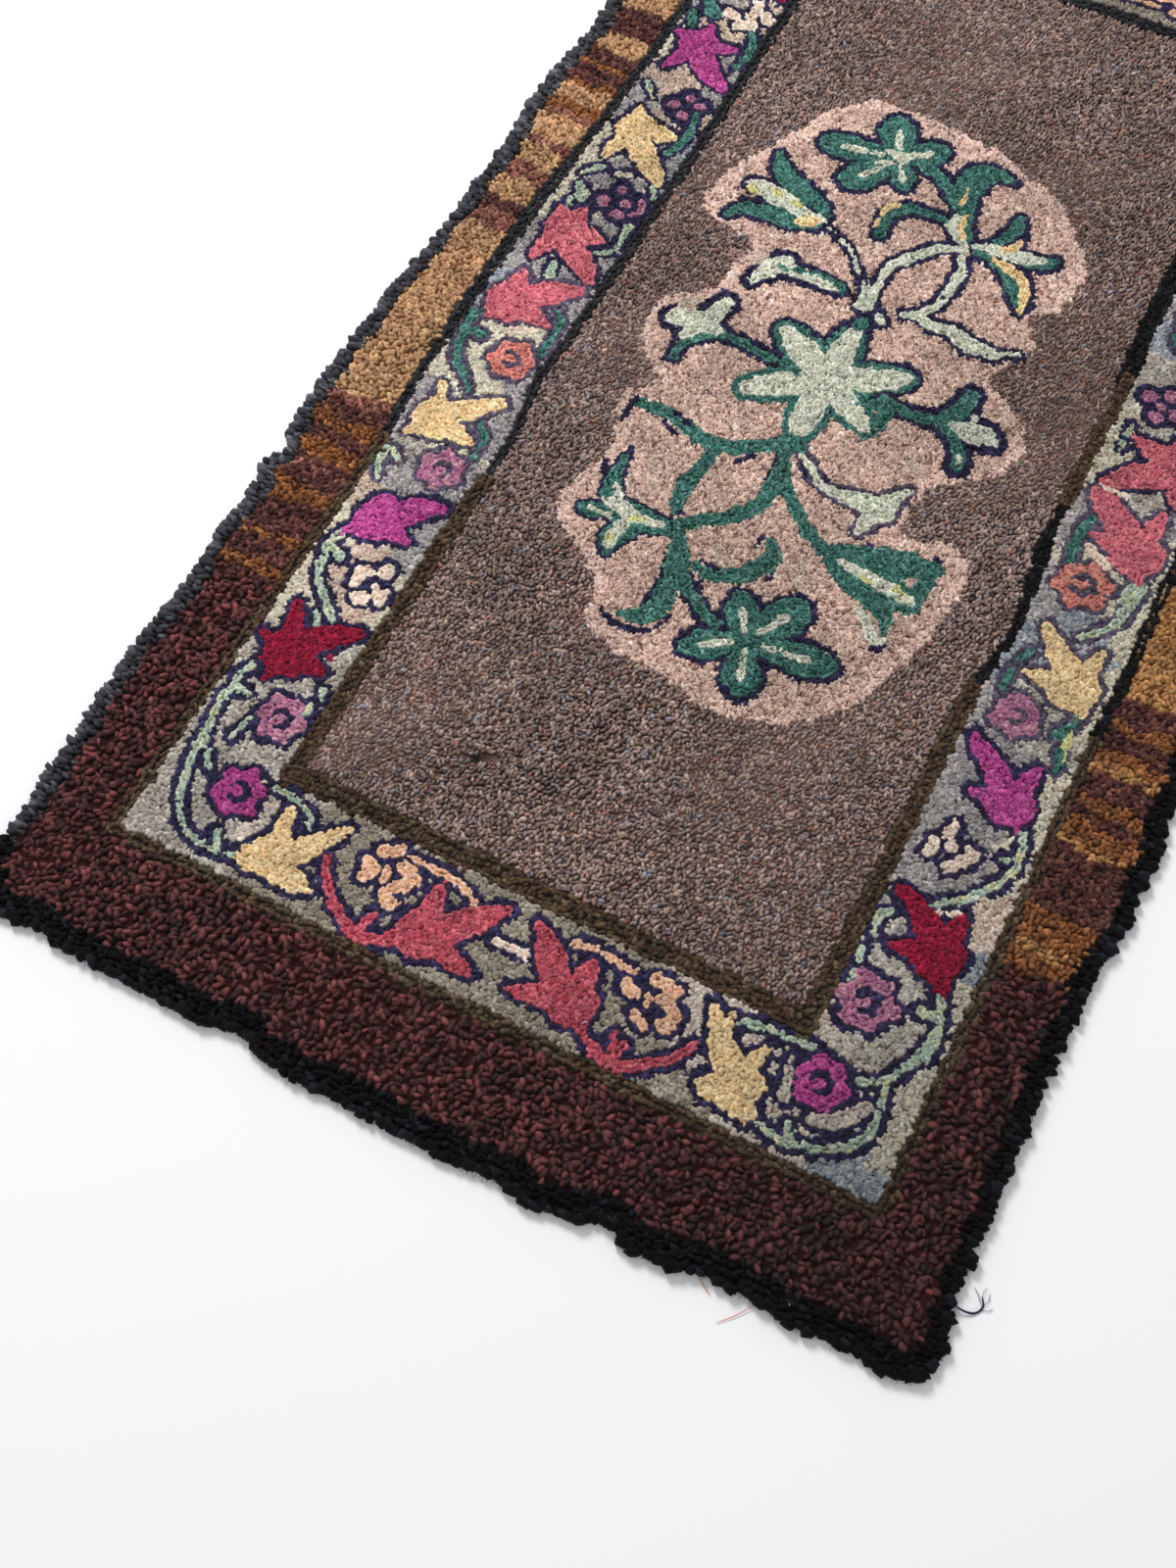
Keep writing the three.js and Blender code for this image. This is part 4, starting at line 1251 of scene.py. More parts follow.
@dataclass
class Plan:
    """The rug's plan in cells of a millimetre: which wool, figure and zone each cell belongs to.

    Attributes:
        outline: the rug's outline.
        half_x: how far the plan reaches across, either way.
        half_y: how far it reaches along, either way.
    """

    outline: Outline
    half_x: int = 400
    half_y: int = 740
    wool: np.ndarray = field(init=False)
    owner: np.ndarray = field(init=False)
    zone: np.ndarray = field(init=False)
    windows: list[Window] = field(init=False, default_factory=list)

    def __post_init__(self) -> None:
        """Lays the grounds, then paints the rules, the border and the medallion."""
        self.columns = np.arange(-self.half_x, self.half_x) + 0.5
        self.rows = np.arange(-self.half_y, self.half_y) + 0.5
        x, y = np.meshgrid(self.columns, self.rows)
        self.depth = self.outline.depth(x, y)
        self.owner = np.full(x.shape, -1, dtype=np.int32)
        self.lay_grounds(x, y)
        self.paint(RULE_FIGURES, Zone.RULE, {Zone.BAND, Zone.STRIPE, Zone.BORDER, Zone.FIELD})
        self.paint(BORDER_FIGURES, Zone.BORDER, {Zone.BORDER})
        self.paint((Figure(Wool.PALE_BLUSH, patch=MEDALLION_PATCH),), Zone.MEDALLION, {Zone.FIELD})
        self.paint((Figure(Wool.BLUSH, patch=MEDALLION_PATCH, inset=9),), Zone.MEDALLION, {Zone.MEDALLION})
        self.paint(SAND_PATCHES + MEDALLION_FIGURES, Zone.MEDALLION, {Zone.FIELD, Zone.MEDALLION})
        self.paint(FIELD_SLIT_SHADOWS, Zone.FIELD, {Zone.FIELD})

    def lay_grounds(self, x: np.ndarray, y: np.ndarray) -> None:
        """Sets the zone and ground wool of every cell.

        Args:
            x: the cells' x.
            y: the cells' y.
        """
        in_border, in_field = (
            (x > np.interp(y, *zip(*left))) & (x < np.interp(y, *zip(*right))) & (y > bottom) & (y < top)
            for left, right, bottom, top in (
                (BORDER_KNOTS_LEFT, BORDER_KNOTS_RIGHT, BORDER_BOTTOM, BORDER_TOP),
                (FIELD_KNOTS_LEFT, FIELD_KNOTS_RIGHT, FIELD_BOTTOM, FIELD_TOP),
            )
        )
        at_end = np.abs(y) > self.outline.length / 2 - END_REACH
        edge = np.where(at_end, END_EDGE, LONG_EDGE) + swing(x, y, *EDGE_WARP, 1)
        in_edge = self.depth < edge
        self.zone = np.full(x.shape, Zone.BAND.value, dtype=np.int8)
        self.zone[in_border] = Zone.BORDER.value
        self.zone[in_field] = Zone.FIELD.value
        self.zone[in_edge] = Zone.EDGE.value
        self.wool = band_wool(x, y)
        self.wool[in_border] = ground_wool(x[in_border], y[in_border])
        self.wool[in_field] = WOOL_NUMBER[Wool.TAUPE]
        self.wool[in_edge] = WOOL_NUMBER[Wool.BLACK]
        # Painted sheen: along the left side, towards the lamp, the edge's black is greyed where it catches
        # the light.
        uneven = y + SHEEN_PAINTED_SPREAD * drift(x, y, 30, 11)
        sheen_painted = (x < -self.outline.width * SHEEN_PAINTED_SHARE) & (uneven > SHEEN_PAINTED_FROM)
        self.wool[in_edge & sheen_painted] = WOOL_NUMBER[Wool.GREYED_BLACK]
        striped = (self.zone == Zone.BAND.value) & (self.wool != WOOL_NUMBER[Wool.MAROON])
        self.zone[striped] = Zone.STRIPE.value

    def paint(self, figures: tuple[Figure, ...], zone: Zone, over: set[Zone]) -> None:
        """Paints figures: every outer ring first, then the inner ones, then the figures themselves.

        Args:
            figures: the figures, the later ones over the earlier.
            zone: the zone that their cells become.
            over: the zones that they may cover.
        """
        known = len(self.windows)
        windows = [self.window(figure, known + i, zone) for i, figure in enumerate(figures)]
        self.windows.extend(windows)
        codes = [each.value for each in over] + [zone.value]
        for rank in (1, 0, -1):
            for window in windows:
                rings = window.figure.rings
                if rank >= len(rings):
                    continue
                wool, reach = (rings[rank].wool, rings[rank].reach) if rank >= 0 else (window.figure.wool, 0)
                height, width = window.distance.shape
                part = np.s_[window.row : window.row + height, window.column : window.column + width]
                chosen = (window.distance < reach) & np.isin(self.zone[part], codes)
                self.wool[part][chosen] = WOOL_NUMBER[wool]
                self.owner[part][chosen] = window.code(rank)
                self.zone[part][chosen] = zone.value

    def cell(self, x: np.ndarray, y: np.ndarray) -> tuple[np.ndarray, np.ndarray]:
        """Finds the cells that places lie in.

        Args:
            x: the places' x.
            y: the places' y.

        Returns:
            The cells' rows and columns.
        """
        column = np.clip((x + self.half_x).astype(int), 0, 2 * self.half_x - 1)
        row = np.clip((y + self.half_y).astype(int), 0, 2 * self.half_y - 1)
        return row, column

    def lines(self, values: np.ndarray, level: float, column: int = 0,
              row: int = 0) -> list[tuple[np.ndarray, bool]]:
        """Follows a level through a stretch of cells.

        Args:
            values: the stretch's values.
            level: the value to follow.
            column: the stretch's first column.
            row: its first row.

        Returns:
            Each line's places on the plan, and whether it is closed.
        """
        start = np.array([column + 0.5 - self.half_x, row + 0.5 - self.half_y])
        return [(line + start, closed) for line, closed in contours(values, level)]

    def window(self, figure: Figure, number: int, zone: Zone) -> Window:
        """Works out a figure's distances over its own stretch of the plan.

        Args:
            figure: the figure.
            number: its number.
            zone: the zone that its cells become.

        Returns:
            The stretch.
        """
        low_x, low_y, high_x, high_y = figure.box()
        first_column = int(np.clip(low_x + self.half_x, 0, 2 * self.half_x - 2))
        first_row = int(np.clip(low_y + self.half_y, 0, 2 * self.half_y - 2))
        last_column = int(np.clip(high_x + self.half_x, first_column + 2, 2 * self.half_x))
        last_row = int(np.clip(high_y + self.half_y, first_row + 2, 2 * self.half_y))
        x, y = np.meshgrid(self.columns[first_column:last_column], self.rows[first_row:last_row])
        coarse = PATCH_WARP if figure.patch else FIGURE_WARP
        wobble = swing(x, y, *coarse, 8) + swing(x, y, *FINE_WARP, 9)
        return Window(figure, number, zone, first_column, first_row, figure.distance(x, y) + wobble)


@dataclass(frozen=True)
class Weave:
    """How the loops of a zone are hooked, in millimetres.

    Attributes:
        pitch: how far apart they are.
        length: how long a loop is.
        width: how wide a loop is.
        foot: how high its foot stands over the floor.
        top: how high its crown stands over the floor.
        shade: the painted shade between loops: the share of its colour left at its foot, rising to the full
            colour at its crown.
        loose: how far it strays from its row.
        lean: the usual way of the loops, in degrees.
        stray: how far a loop's way strays from it, in degrees.
    """

    pitch: float
    length: float
    width: float
    foot: float
    top: float
    shade: float
    loose: float
    lean: float = 0.0
    stray: float = 180.0


# Each weave's shade is painted shade: the foot of every loop is darkened towards it, in place of the shade in
# the crevices between loops.
WEAVES = {
    Zone.EDGE: Weave(4.4, 10.6, 7.2, 4.4, 9.7, shade=0.2, loose=1.1),
    Zone.BAND: Weave(5.1, 10.8, 7.6, 4.2, 9.8, shade=0.0, loose=0.9),
    Zone.RULE: Weave(3.9, 8.2, 6.6, 5.2, 8.9, shade=0.3, loose=0.5),
    Zone.BORDER: Weave(2.85, 7.6, 6.3, 6.0, 9.0, shade=0.75, loose=0.4),
    Zone.MEDALLION: Weave(2.75, 7.1, 5.7, 6.0, 8.9, shade=0.84, loose=0.35),
    Zone.FIELD: Weave(3.6, 7.8, 5.7, 4.6, 8.8, shade=0.0, loose=0.45, lean=70, stray=60),
    Zone.STRIPE: Weave(4.0, 9.0, 6.6, 5.1, 9.2, shade=0.7, loose=0.5),
}
OUTER_ROW_DEPTH = 3.9
EDGE_ROW_DEPTHS = (9.2, 14.2)
EDGE_SQUEEZE = 0.95
SWEEP_TURNS = (0.0, 31.0, 67.0)
USUAL_TURN = 8.0
ROW_GAP = 0.87
PITCH_JITTER = 0.13
WAY_JITTER, EDGE_JITTER = 0.3, 0.28
PLAN_RIM = 8
ROOM_SCALE = 2
CLEAR_SHARE = 0.74
BULGE = 0.19
USUAL_LOOSE = 0.45
SIZE_SPREAD = 0.13
# Where the painted sheen on the edge's black stops, towards the near end.
SHEEN_PAINTED_FROM = -640
PATCHY, PATCH_SIZE = 0.35, 13
BROAD_WEAR, NEAR_WEAR = (0.12, 90), (0.14, 24)
TOP_JITTER, TOP_RANGE = 0.4, (-1.0, 0.8)
CROWN_JITTER, CROWN_SHARE, CROWN_LIFT, CROWN_DIP = 0.3, 0.6, 0.2, 0.15
STREAK = 0.06
# Painted light and shade over the pile: a slope from lighter at the far left to darker at the near right,
# with painted shade deepening into the near right corner.
PAINTED_LIGHT_SLOPE = 0.05
SHADED_CORNER = (380.0, -716.0)
SHADED_REACH = 330.0
CORNER_PAINTED_SHADE = 0.3


@dataclass
class Loops:
    """Loops of wool on the plan.

    Attributes:
        x: their places' x.
        y: their places' y.
        way: the way each lies, in radians.
        zone: the number of each one's zone.
        wool: the number of each one's wool.
        outer: whether each is in the outermost row.
    """

    x: np.ndarray
    y: np.ndarray
    way: np.ndarray
    zone: np.ndarray
    wool: np.ndarray
    outer: np.ndarray

    def where(self, chosen: np.ndarray) -> "Loops":
        """Returns the chosen loops only."""
        return Loops(*(part[chosen] for part in (self.x, self.y, self.way, self.zone, self.wool, self.outer)))


def weave_values(loops: Loops, name: str) -> np.ndarray:
    """Looks up one of the weaves' numbers for loops.

    Args:
        loops: the loops.
        name: the number's name.

    Returns:
        The number for each loop.
    """
    return np.array([getattr(WEAVES[zone], name) for zone in Zone])[loops.zone]


@dataclass
class Hooking:
    """Hooks the plan full of loops, rows along the figures' edges first and then the rest.

    Attributes:
        plan: the rug's plan.
        chances: where its chances come from.
    """

    plan: Plan
    chances: np.random.Generator
    room: np.ndarray = field(init=False)
    found: list[tuple[float, float, float, int]] = field(init=False, default_factory=list)

    def __post_init__(self) -> None:
        """Clears the room for the loops."""
        shape = (2 * self.plan.half_y * ROOM_SCALE, 2 * self.plan.half_x * ROOM_SCALE)
        self.room = np.zeros(shape, dtype=bool)
        self.discs: dict[int, np.ndarray] = {}

    def take(self, places: np.ndarray, ways: np.ndarray, pitch: float, outer: bool = False) -> None:
        """Hooks a loop at each place that is still free.

        Args:
            places: the places.
            ways: the way of the loop at each.
            pitch: how far apart the loops are.
            outer: whether they are the rug's outermost row.
        """
        radius = round(pitch * CLEAR_SHARE * ROOM_SCALE)
        if radius not in self.discs:
            reach = np.arange(-radius, radius + 1)
            self.discs[radius] = np.hypot(*np.meshgrid(reach, reach)) <= radius
        disc = self.discs[radius]
        columns = ((places[:, 0] + self.plan.half_x) * ROOM_SCALE).astype(int)
        rows = ((places[:, 1] + self.plan.half_y) * ROOM_SCALE).astype(int)
        room, found = self.room, self.found
        for column, row, (x, y), way in zip(columns.tolist(), rows.tolist(), places.tolist(), ways.tolist()):
            if not room[row, column]:
                part = room[row - radius : row + radius + 1, column - radius : column + radius + 1]
                part |= disc
                found.append((x, y, way, outer))

    def hook_edge(self) -> None:
        """Hooks the rows that run round the rug at its edge."""
        plan = self.plan
        pitch = WEAVES[Zone.EDGE].pitch
        for depth in (OUTER_ROW_DEPTH, *EDGE_ROW_DEPTHS):
            for line, closed in plan.lines(plan.depth, depth):
                places, ways = spaced(line, closed, pitch)
                kept = plan.zone[plan.cell(*places.T)] == Zone.EDGE.value
                self.take(places[kept], ways[kept], pitch * EDGE_SQUEEZE, outer=depth == OUTER_ROW_DEPTH)

    def hook_rows(self, window: Window, levels: list[float], code: int) -> None:
        """Hooks rows along a figure's edge.

        Args:
            window: the figure's window.
            levels: the rows' distances from its edge.
            code: what the plan's cells hold where the rows may run.
        """
        pitch = WEAVES[window.zone].pitch
        for level in levels:
            if level < window.distance.min():
                continue
            for line, closed in self.plan.lines(window.distance, level, window.column, window.row):
                places, ways = spaced(line, closed, pitch)
                kept = self.plan.owner[self.plan.cell(*places.T)] == code
                self.take(places[kept], ways[kept], pitch)

    def hook_figures(self) -> None:
        """Hooks the lines round the figures, then a row inside each one's edge."""
        for window in reversed(self.plan.windows):
            start = 0.0
            for rank, ring in enumerate(window.figure.rings):
                pitch = WEAVES[window.zone].pitch
                count = max(1, int((ring.reach - start) / pitch))
                levels = [start + (k + 0.5) * (ring.reach - start) / count for k in range(count)]
                self.hook_rows(window, levels, window.code(rank))
                start = ring.reach
        for window in reversed(self.plan.windows):
            pitch = WEAVES[window.zone].pitch
            if not window.figure.patch:
                self.hook_rows(window, [-0.5 * pitch], window.code())

    def hook_rest(self) -> None:
        """Hooks every place that is still free, zone by zone, in rows that wander."""
        plan = self.plan
        reach = plan.half_y + plan.half_x
        for zone, weave in WEAVES.items():
            for sweep, turn in enumerate(SWEEP_TURNS):
                angle = math.radians(turn + (weave.lean if weave.lean else USUAL_TURN))
                across = np.arange(-reach, reach, weave.pitch)
                along = np.arange(-reach, reach, weave.pitch * ROW_GAP)
                u, v = np.meshgrid(across, along)
                u = u + np.where(np.arange(len(along)) % 2, weave.pitch / 2, 0)[:, None]
                x, y = u * math.cos(angle) - v * math.sin(angle), u * math.sin(angle) + v * math.cos(angle)
                inside = (np.abs(x) < plan.half_x - PLAN_RIM) & (np.abs(y) < plan.half_y - PLAN_RIM)
                x, y = x[inside], y[inside]
                x = x + self.wander(x, y, 11 + sweep, weave)
                y = y + self.wander(x, y, 12 + sweep, weave)
                cells = plan.cell(x, y)
                kept = (plan.zone[cells] == zone.value) & (plan.depth[cells] > OUTER_ROW_DEPTH)
                places = np.stack([x, y], axis=1)[kept]
                stray = self.chances.uniform(-1, 1, len(places)) * math.radians(weave.stray)
                self.take(places, stray + math.radians(weave.lean), weave.pitch)

    def wander(self, x: np.ndarray, y: np.ndarray, salt: int, weave: Weave) -> np.ndarray:
        """Works out how far places wander from their rows.

        Args:
            x: the places' x.
            y: the places' y.
            salt: tells one wander from another.
            weave: the zone's weave.

        Returns:
            How far each is moved.
        """
        return swing(x, y, *ROW_WARP, salt) + self.chances.normal(0, PITCH_JITTER, x.shape) * weave.pitch

    def loops(self) -> Loops:
        """Hooks everything.

        Returns:
            The loops.
        """
        self.hook_edge()
        self.hook_figures()
        self.hook_rest()
        x, y, way, outer = np.array(self.found).T
        cells = self.plan.cell(x, y)
        zone, wool = self.plan.zone[cells], self.plan.wool[cells]
        loops = Loops(x, y, way, zone, wool, outer > 0)
        self.settle(loops)
        # The loops of the field's black slit are left out; the cloth under them shows the slit's painted
        # shadow.
        slit_loops = (zone == Zone.FIELD.value) & (wool == WOOL_NUMBER[Wool.BLACK])
        return loops.where(~slit_loops)

    def settle(self, loops: Loops) -> None:
        """Turns the loops of the edge and lets every one stray a little from its row.

        Args:
            loops: the loops.
        """
        count = len(loops.x)
        loose = weave_values(loops, "loose")
        loops.x = loops.x + loose * np.clip(self.chances.normal(0, 1, count), -2, 2)
        loops.y = loops.y + loose * np.clip(self.chances.normal(0, 1, count), -2, 2)
        loops.way = loops.way + self.chances.normal(0, WAY_JITTER, count)
        edge = loops.zone == Zone.EDGE.value
        margins = self.plan.outline.margins(loops.x, loops.y)
        ends = np.minimum(margins[Side.BOTTOM], margins[Side.TOP])
        beside = edge & (np.minimum(margins[Side.LEFT], margins[Side.RIGHT]) < ends)
        loops.way = np.where(beside, self.chances.normal(0, EDGE_JITTER, count), loops.way)
        band = np.isin(loops.zone, (Zone.BAND.value, Zone.STRIPE.value))
        loops.way = np.where(band, self.chances.uniform(0, math.pi, count), loops.way)


def painted_light_and_shade(x: np.ndarray, y: np.ndarray) -> np.ndarray:
    """Works out the painted light and shade over the pile: lighter towards the far left, where the lamp is,
    darker towards the near right, and darkest at the near right corner.

    Args:
        x: the loops' x.
        y: the loops' y.

    Returns:
        A factor for each loop's shade.
    """
    across = 1 - PAINTED_LIGHT_SLOPE * (y / SHADED_CORNER[1] + x / SHADED_CORNER[0])
    away = np.hypot(x - SHADED_CORNER[0], y - SHADED_CORNER[1])
    return across * (1 - CORNER_PAINTED_SHADE * smooth(np.clip(1 - away / SHADED_REACH, 0, 1)))


def dyed(loops: Loops, chances: np.random.Generator) -> np.ndarray:
    """Picks each loop's colour from its wool's shades, with slow random wear, and paints light and shade over
    the pile.

    Args:
        loops: the loops.
        chances: where the chances come from.

    Returns:
        A row of linear red, green and blue for each loop.
    """
    count = len(loops.x)
    colours = np.zeros((count, 3))
    chance = chances.uniform(0, 1, count)
    pick = PATCHY * drift(loops.x, loops.y, PATCH_SIZE, 21) + (1 - PATCHY) * chance
    for number, wool in enumerate(WOOLS):
        chosen = loops.wool == number
        dye = wool.value
        shades = np.array(dye.shades, dtype=float)
        colours[chosen] = shades[np.clip((pick[chosen] * len(shades)).astype(int), 0, len(shades) - 1)]
        if dye.flecks:
            flecks = np.array(dye.flecks, dtype=float)
            rare = chosen & (chances.uniform(0, 1, count) < dye.fleck_share)
            colours[rare] = flecks[chances.integers(0, len(flecks), rare.sum())]
        light = 1 + dye.spread * np.clip(chances.normal(0, 1, count), -2, 2)
        colours[chosen] *= light[chosen, None]
    worn = 1 + swing(loops.x, loops.y, *BROAD_WEAR, 22) + swing(loops.x, loops.y, *NEAR_WEAR, 23)
    # The worn factor is random wear in tone; the other factor is painted light and shade.
    return linear_colour(colours * (worn * painted_light_and_shade(loops.x, loops.y))[:, None])


@dataclass(frozen=True)
class Shell:
    """How a loop's skin runs from its foot to its crown.

    Attributes:
        corners: how many corners it has round.
        rings: height and reach of each ring of corners, as shares of the loop's, from the foot up.
        crown: how long the crown's line is, as a share of the loop's length.
    """

    corners: int
    rings: tuple[tuple[float, float], ...] = ((0.0, 1.0),)
    crown: float = 0.34

    def angles(self) -> np.ndarray:
        """Returns the corners' ways round the loop."""
        return 2 * math.pi * (np.arange(self.corners) + 0.25) / self.corners

    def points(self) -> int:
        """Returns how many points one loop has."""
        return self.corners * len(self.rings) + 2

    def faces(self) -> tuple[np.ndarray, np.ndarray]:
        """Joins the points of one loop.

        Returns:
            The loop's triangles, and which of them are its flat underside.
        """
        n, last = self.corners, self.corners * (len(self.rings) - 1)
        ends = np.where(np.cos(self.angles()) >= 0, n * len(self.rings), n * len(self.rings) + 1)
        made = []
        for ring in range(len(self.rings) - 1):
            for k in range(n):
                low, low_next = ring * n + k, ring * n + (k + 1) % n
                made += [(low, low_next, low_next + n), (low, low_next + n, low + n)]
        for k in range(n):
            here, there = last + k, last + (k + 1) % n
            made.append((here, there, int(ends[(k + 1) % n])))
            if ends[k] != ends[(k + 1) % n]:
                made.append((here, int(ends[(k + 1) % n]), int(ends[k])))
        bottom = [(0, k + 1, k) for k in range(1, n - 1)]
        flat = [False] * len(made) + [True] * len(bottom)
        return np.array(made + bottom), np.array(flat)


# Places in a loop's cell of the bake's square, as shares of the cell.
CELL_REACH, CELL_STEP = 0.47, 0.3
CELL_CROWN = ((0.59, 0.5), (0.41, 0.5))
CELL_CORNER, CELL_FOOT = 0.06, 0.05

SLIGHT_SHELL = Shell(4)
PLAIN_SHELL = Shell(5)
STOUT_SHELL = Shell(6)
EDGE_SHELL = Shell(7, rings=((0.03, 0.86), (0.4, 1.02), (0.82, 0.82)), crown=0.3)


@dataclass(frozen=True)
class WoolFinish:
    """A matte wool whose colour comes loop by loop, with fine fibres over it.

    Attributes:
        roughness: how matte it is.
        sheen: how much light its fibres catch.
        gloss: how strongly it mirrors the light.
        fibre: how many fibres show in a metre.
        lights: how dark and how light the fibres are against the loop's colour.
        raised: how strongly the fibres stand out.
        height: how high they stand, in metres.
    """

    roughness: float = 0.95
    sheen: float = 0.05
    gloss: float = 0.12
    fibre: float = 1500.0
    lights: tuple[float, float] = (0.76, 1.24)
    raised: float = 0.35
    height: float = 0.0005

    def material(self, name: str) -> bpy.types.Material:
        """Builds the material.

        Args:
            name: its name.

        Returns:
            The material.
        """
        made = bpy.data.materials.new(name)
        made.use_nodes = True
        nodes, links = made.node_tree.nodes, made.node_tree.links
        shader = nodes["Principled BSDF"]
        shader.inputs["Roughness"].default_value = self.roughness
        shader.inputs["Sheen Weight"].default_value = self.sheen
        shader.inputs["Sheen Roughness"].default_value = 0.6
        shader.inputs["Specular IOR Level"].default_value = self.gloss
        colour = nodes.new("ShaderNodeAttribute")
        colour.attribute_name = YARN_COLOUR
        place = nodes.new("ShaderNodeTexCoord")
        fibres = nodes.new("ShaderNodeTexNoise")
        fibres.inputs["Scale"].default_value = self.fibre
        fibres.inputs["Detail"].default_value = 2.0
        span = nodes.new("ShaderNodeMapRange")
        span.inputs["To Min"].default_value, span.inputs["To Max"].default_value = self.lights
        tint = nodes.new("ShaderNodeVectorMath")
        tint.operation = "SCALE"
        bump = nodes.new("ShaderNodeBump")
        bump.inputs["Strength"].default_value = self.raised
        bump.inputs["Distance"].default_value = self.height
        links.new(place.outputs["Object"], fibres.inputs["Vector"])
        links.new(fibres.outputs["Fac"], span.inputs["Value"])
        links.new(colour.outputs["Color"], tint.inputs[0])
        links.new(span.outputs["Result"], tint.inputs["Scale"])
        links.new(tint.outputs["Vector"], shader.inputs["Base Color"])
        links.new(fibres.outputs["Fac"], bump.inputs["Height"])
        links.new(bump.outputs["Normal"], shader.inputs["Normal"])
        return made


def paint_points(mesh: bpy.types.Mesh, colours: np.ndarray) -> None:
    """Gives a mesh's points their colours.

    Args:
        mesh: the mesh.
        colours: the points' linear colours.
    """
    stained = mesh.color_attributes.new(YARN_COLOUR, "FLOAT_COLOR", "POINT")
    opaque = np.hstack([colours, np.ones((len(colours), 1))])
    stained.data.foreach_set("color", opaque.astype(np.float32).ravel())


def built_mesh(name: str, points: np.ndarray, faces: np.ndarray, soft: np.ndarray, colours: np.ndarray,
               plan: np.ndarray) -> bpy.types.Object:
    """Makes an object of triangles with a colour at each point and a plan for its bake.

    Args:
        name: the object's name.
        points: the points, in metres.
        faces: the triangles.
        soft: whether each triangle is shaded smooth.
        colours: the points' linear colours.
        plan: the place of each triangle's corners on the bake's square.

    Returns:
        The object.
    """
    mesh = bpy.data.meshes.new(name)
    mesh.vertices.add(len(points))
    mesh.vertices.foreach_set("co", points.astype(np.float32).ravel())
    mesh.loops.add(faces.size)
    mesh.loops.foreach_set("vertex_index", faces.astype(np.int32).ravel())
    mesh.polygons.add(len(faces))
    mesh.polygons.foreach_set("loop_start", np.arange(0, faces.size, 3, dtype=np.int32))
    mesh.polygons.foreach_set("use_smooth", soft)
    mesh.update(calc_edges=True)
    layer = mesh.uv_layers.new(name=BAKE_MAP)
    layer.uv.foreach_set("vector", plan.astype(np.float32).ravel())
    paint_points(mesh, colours)
    made = bpy.data.objects.new(name, mesh)
    bpy.context.scene.collection.objects.link(made)
    return made


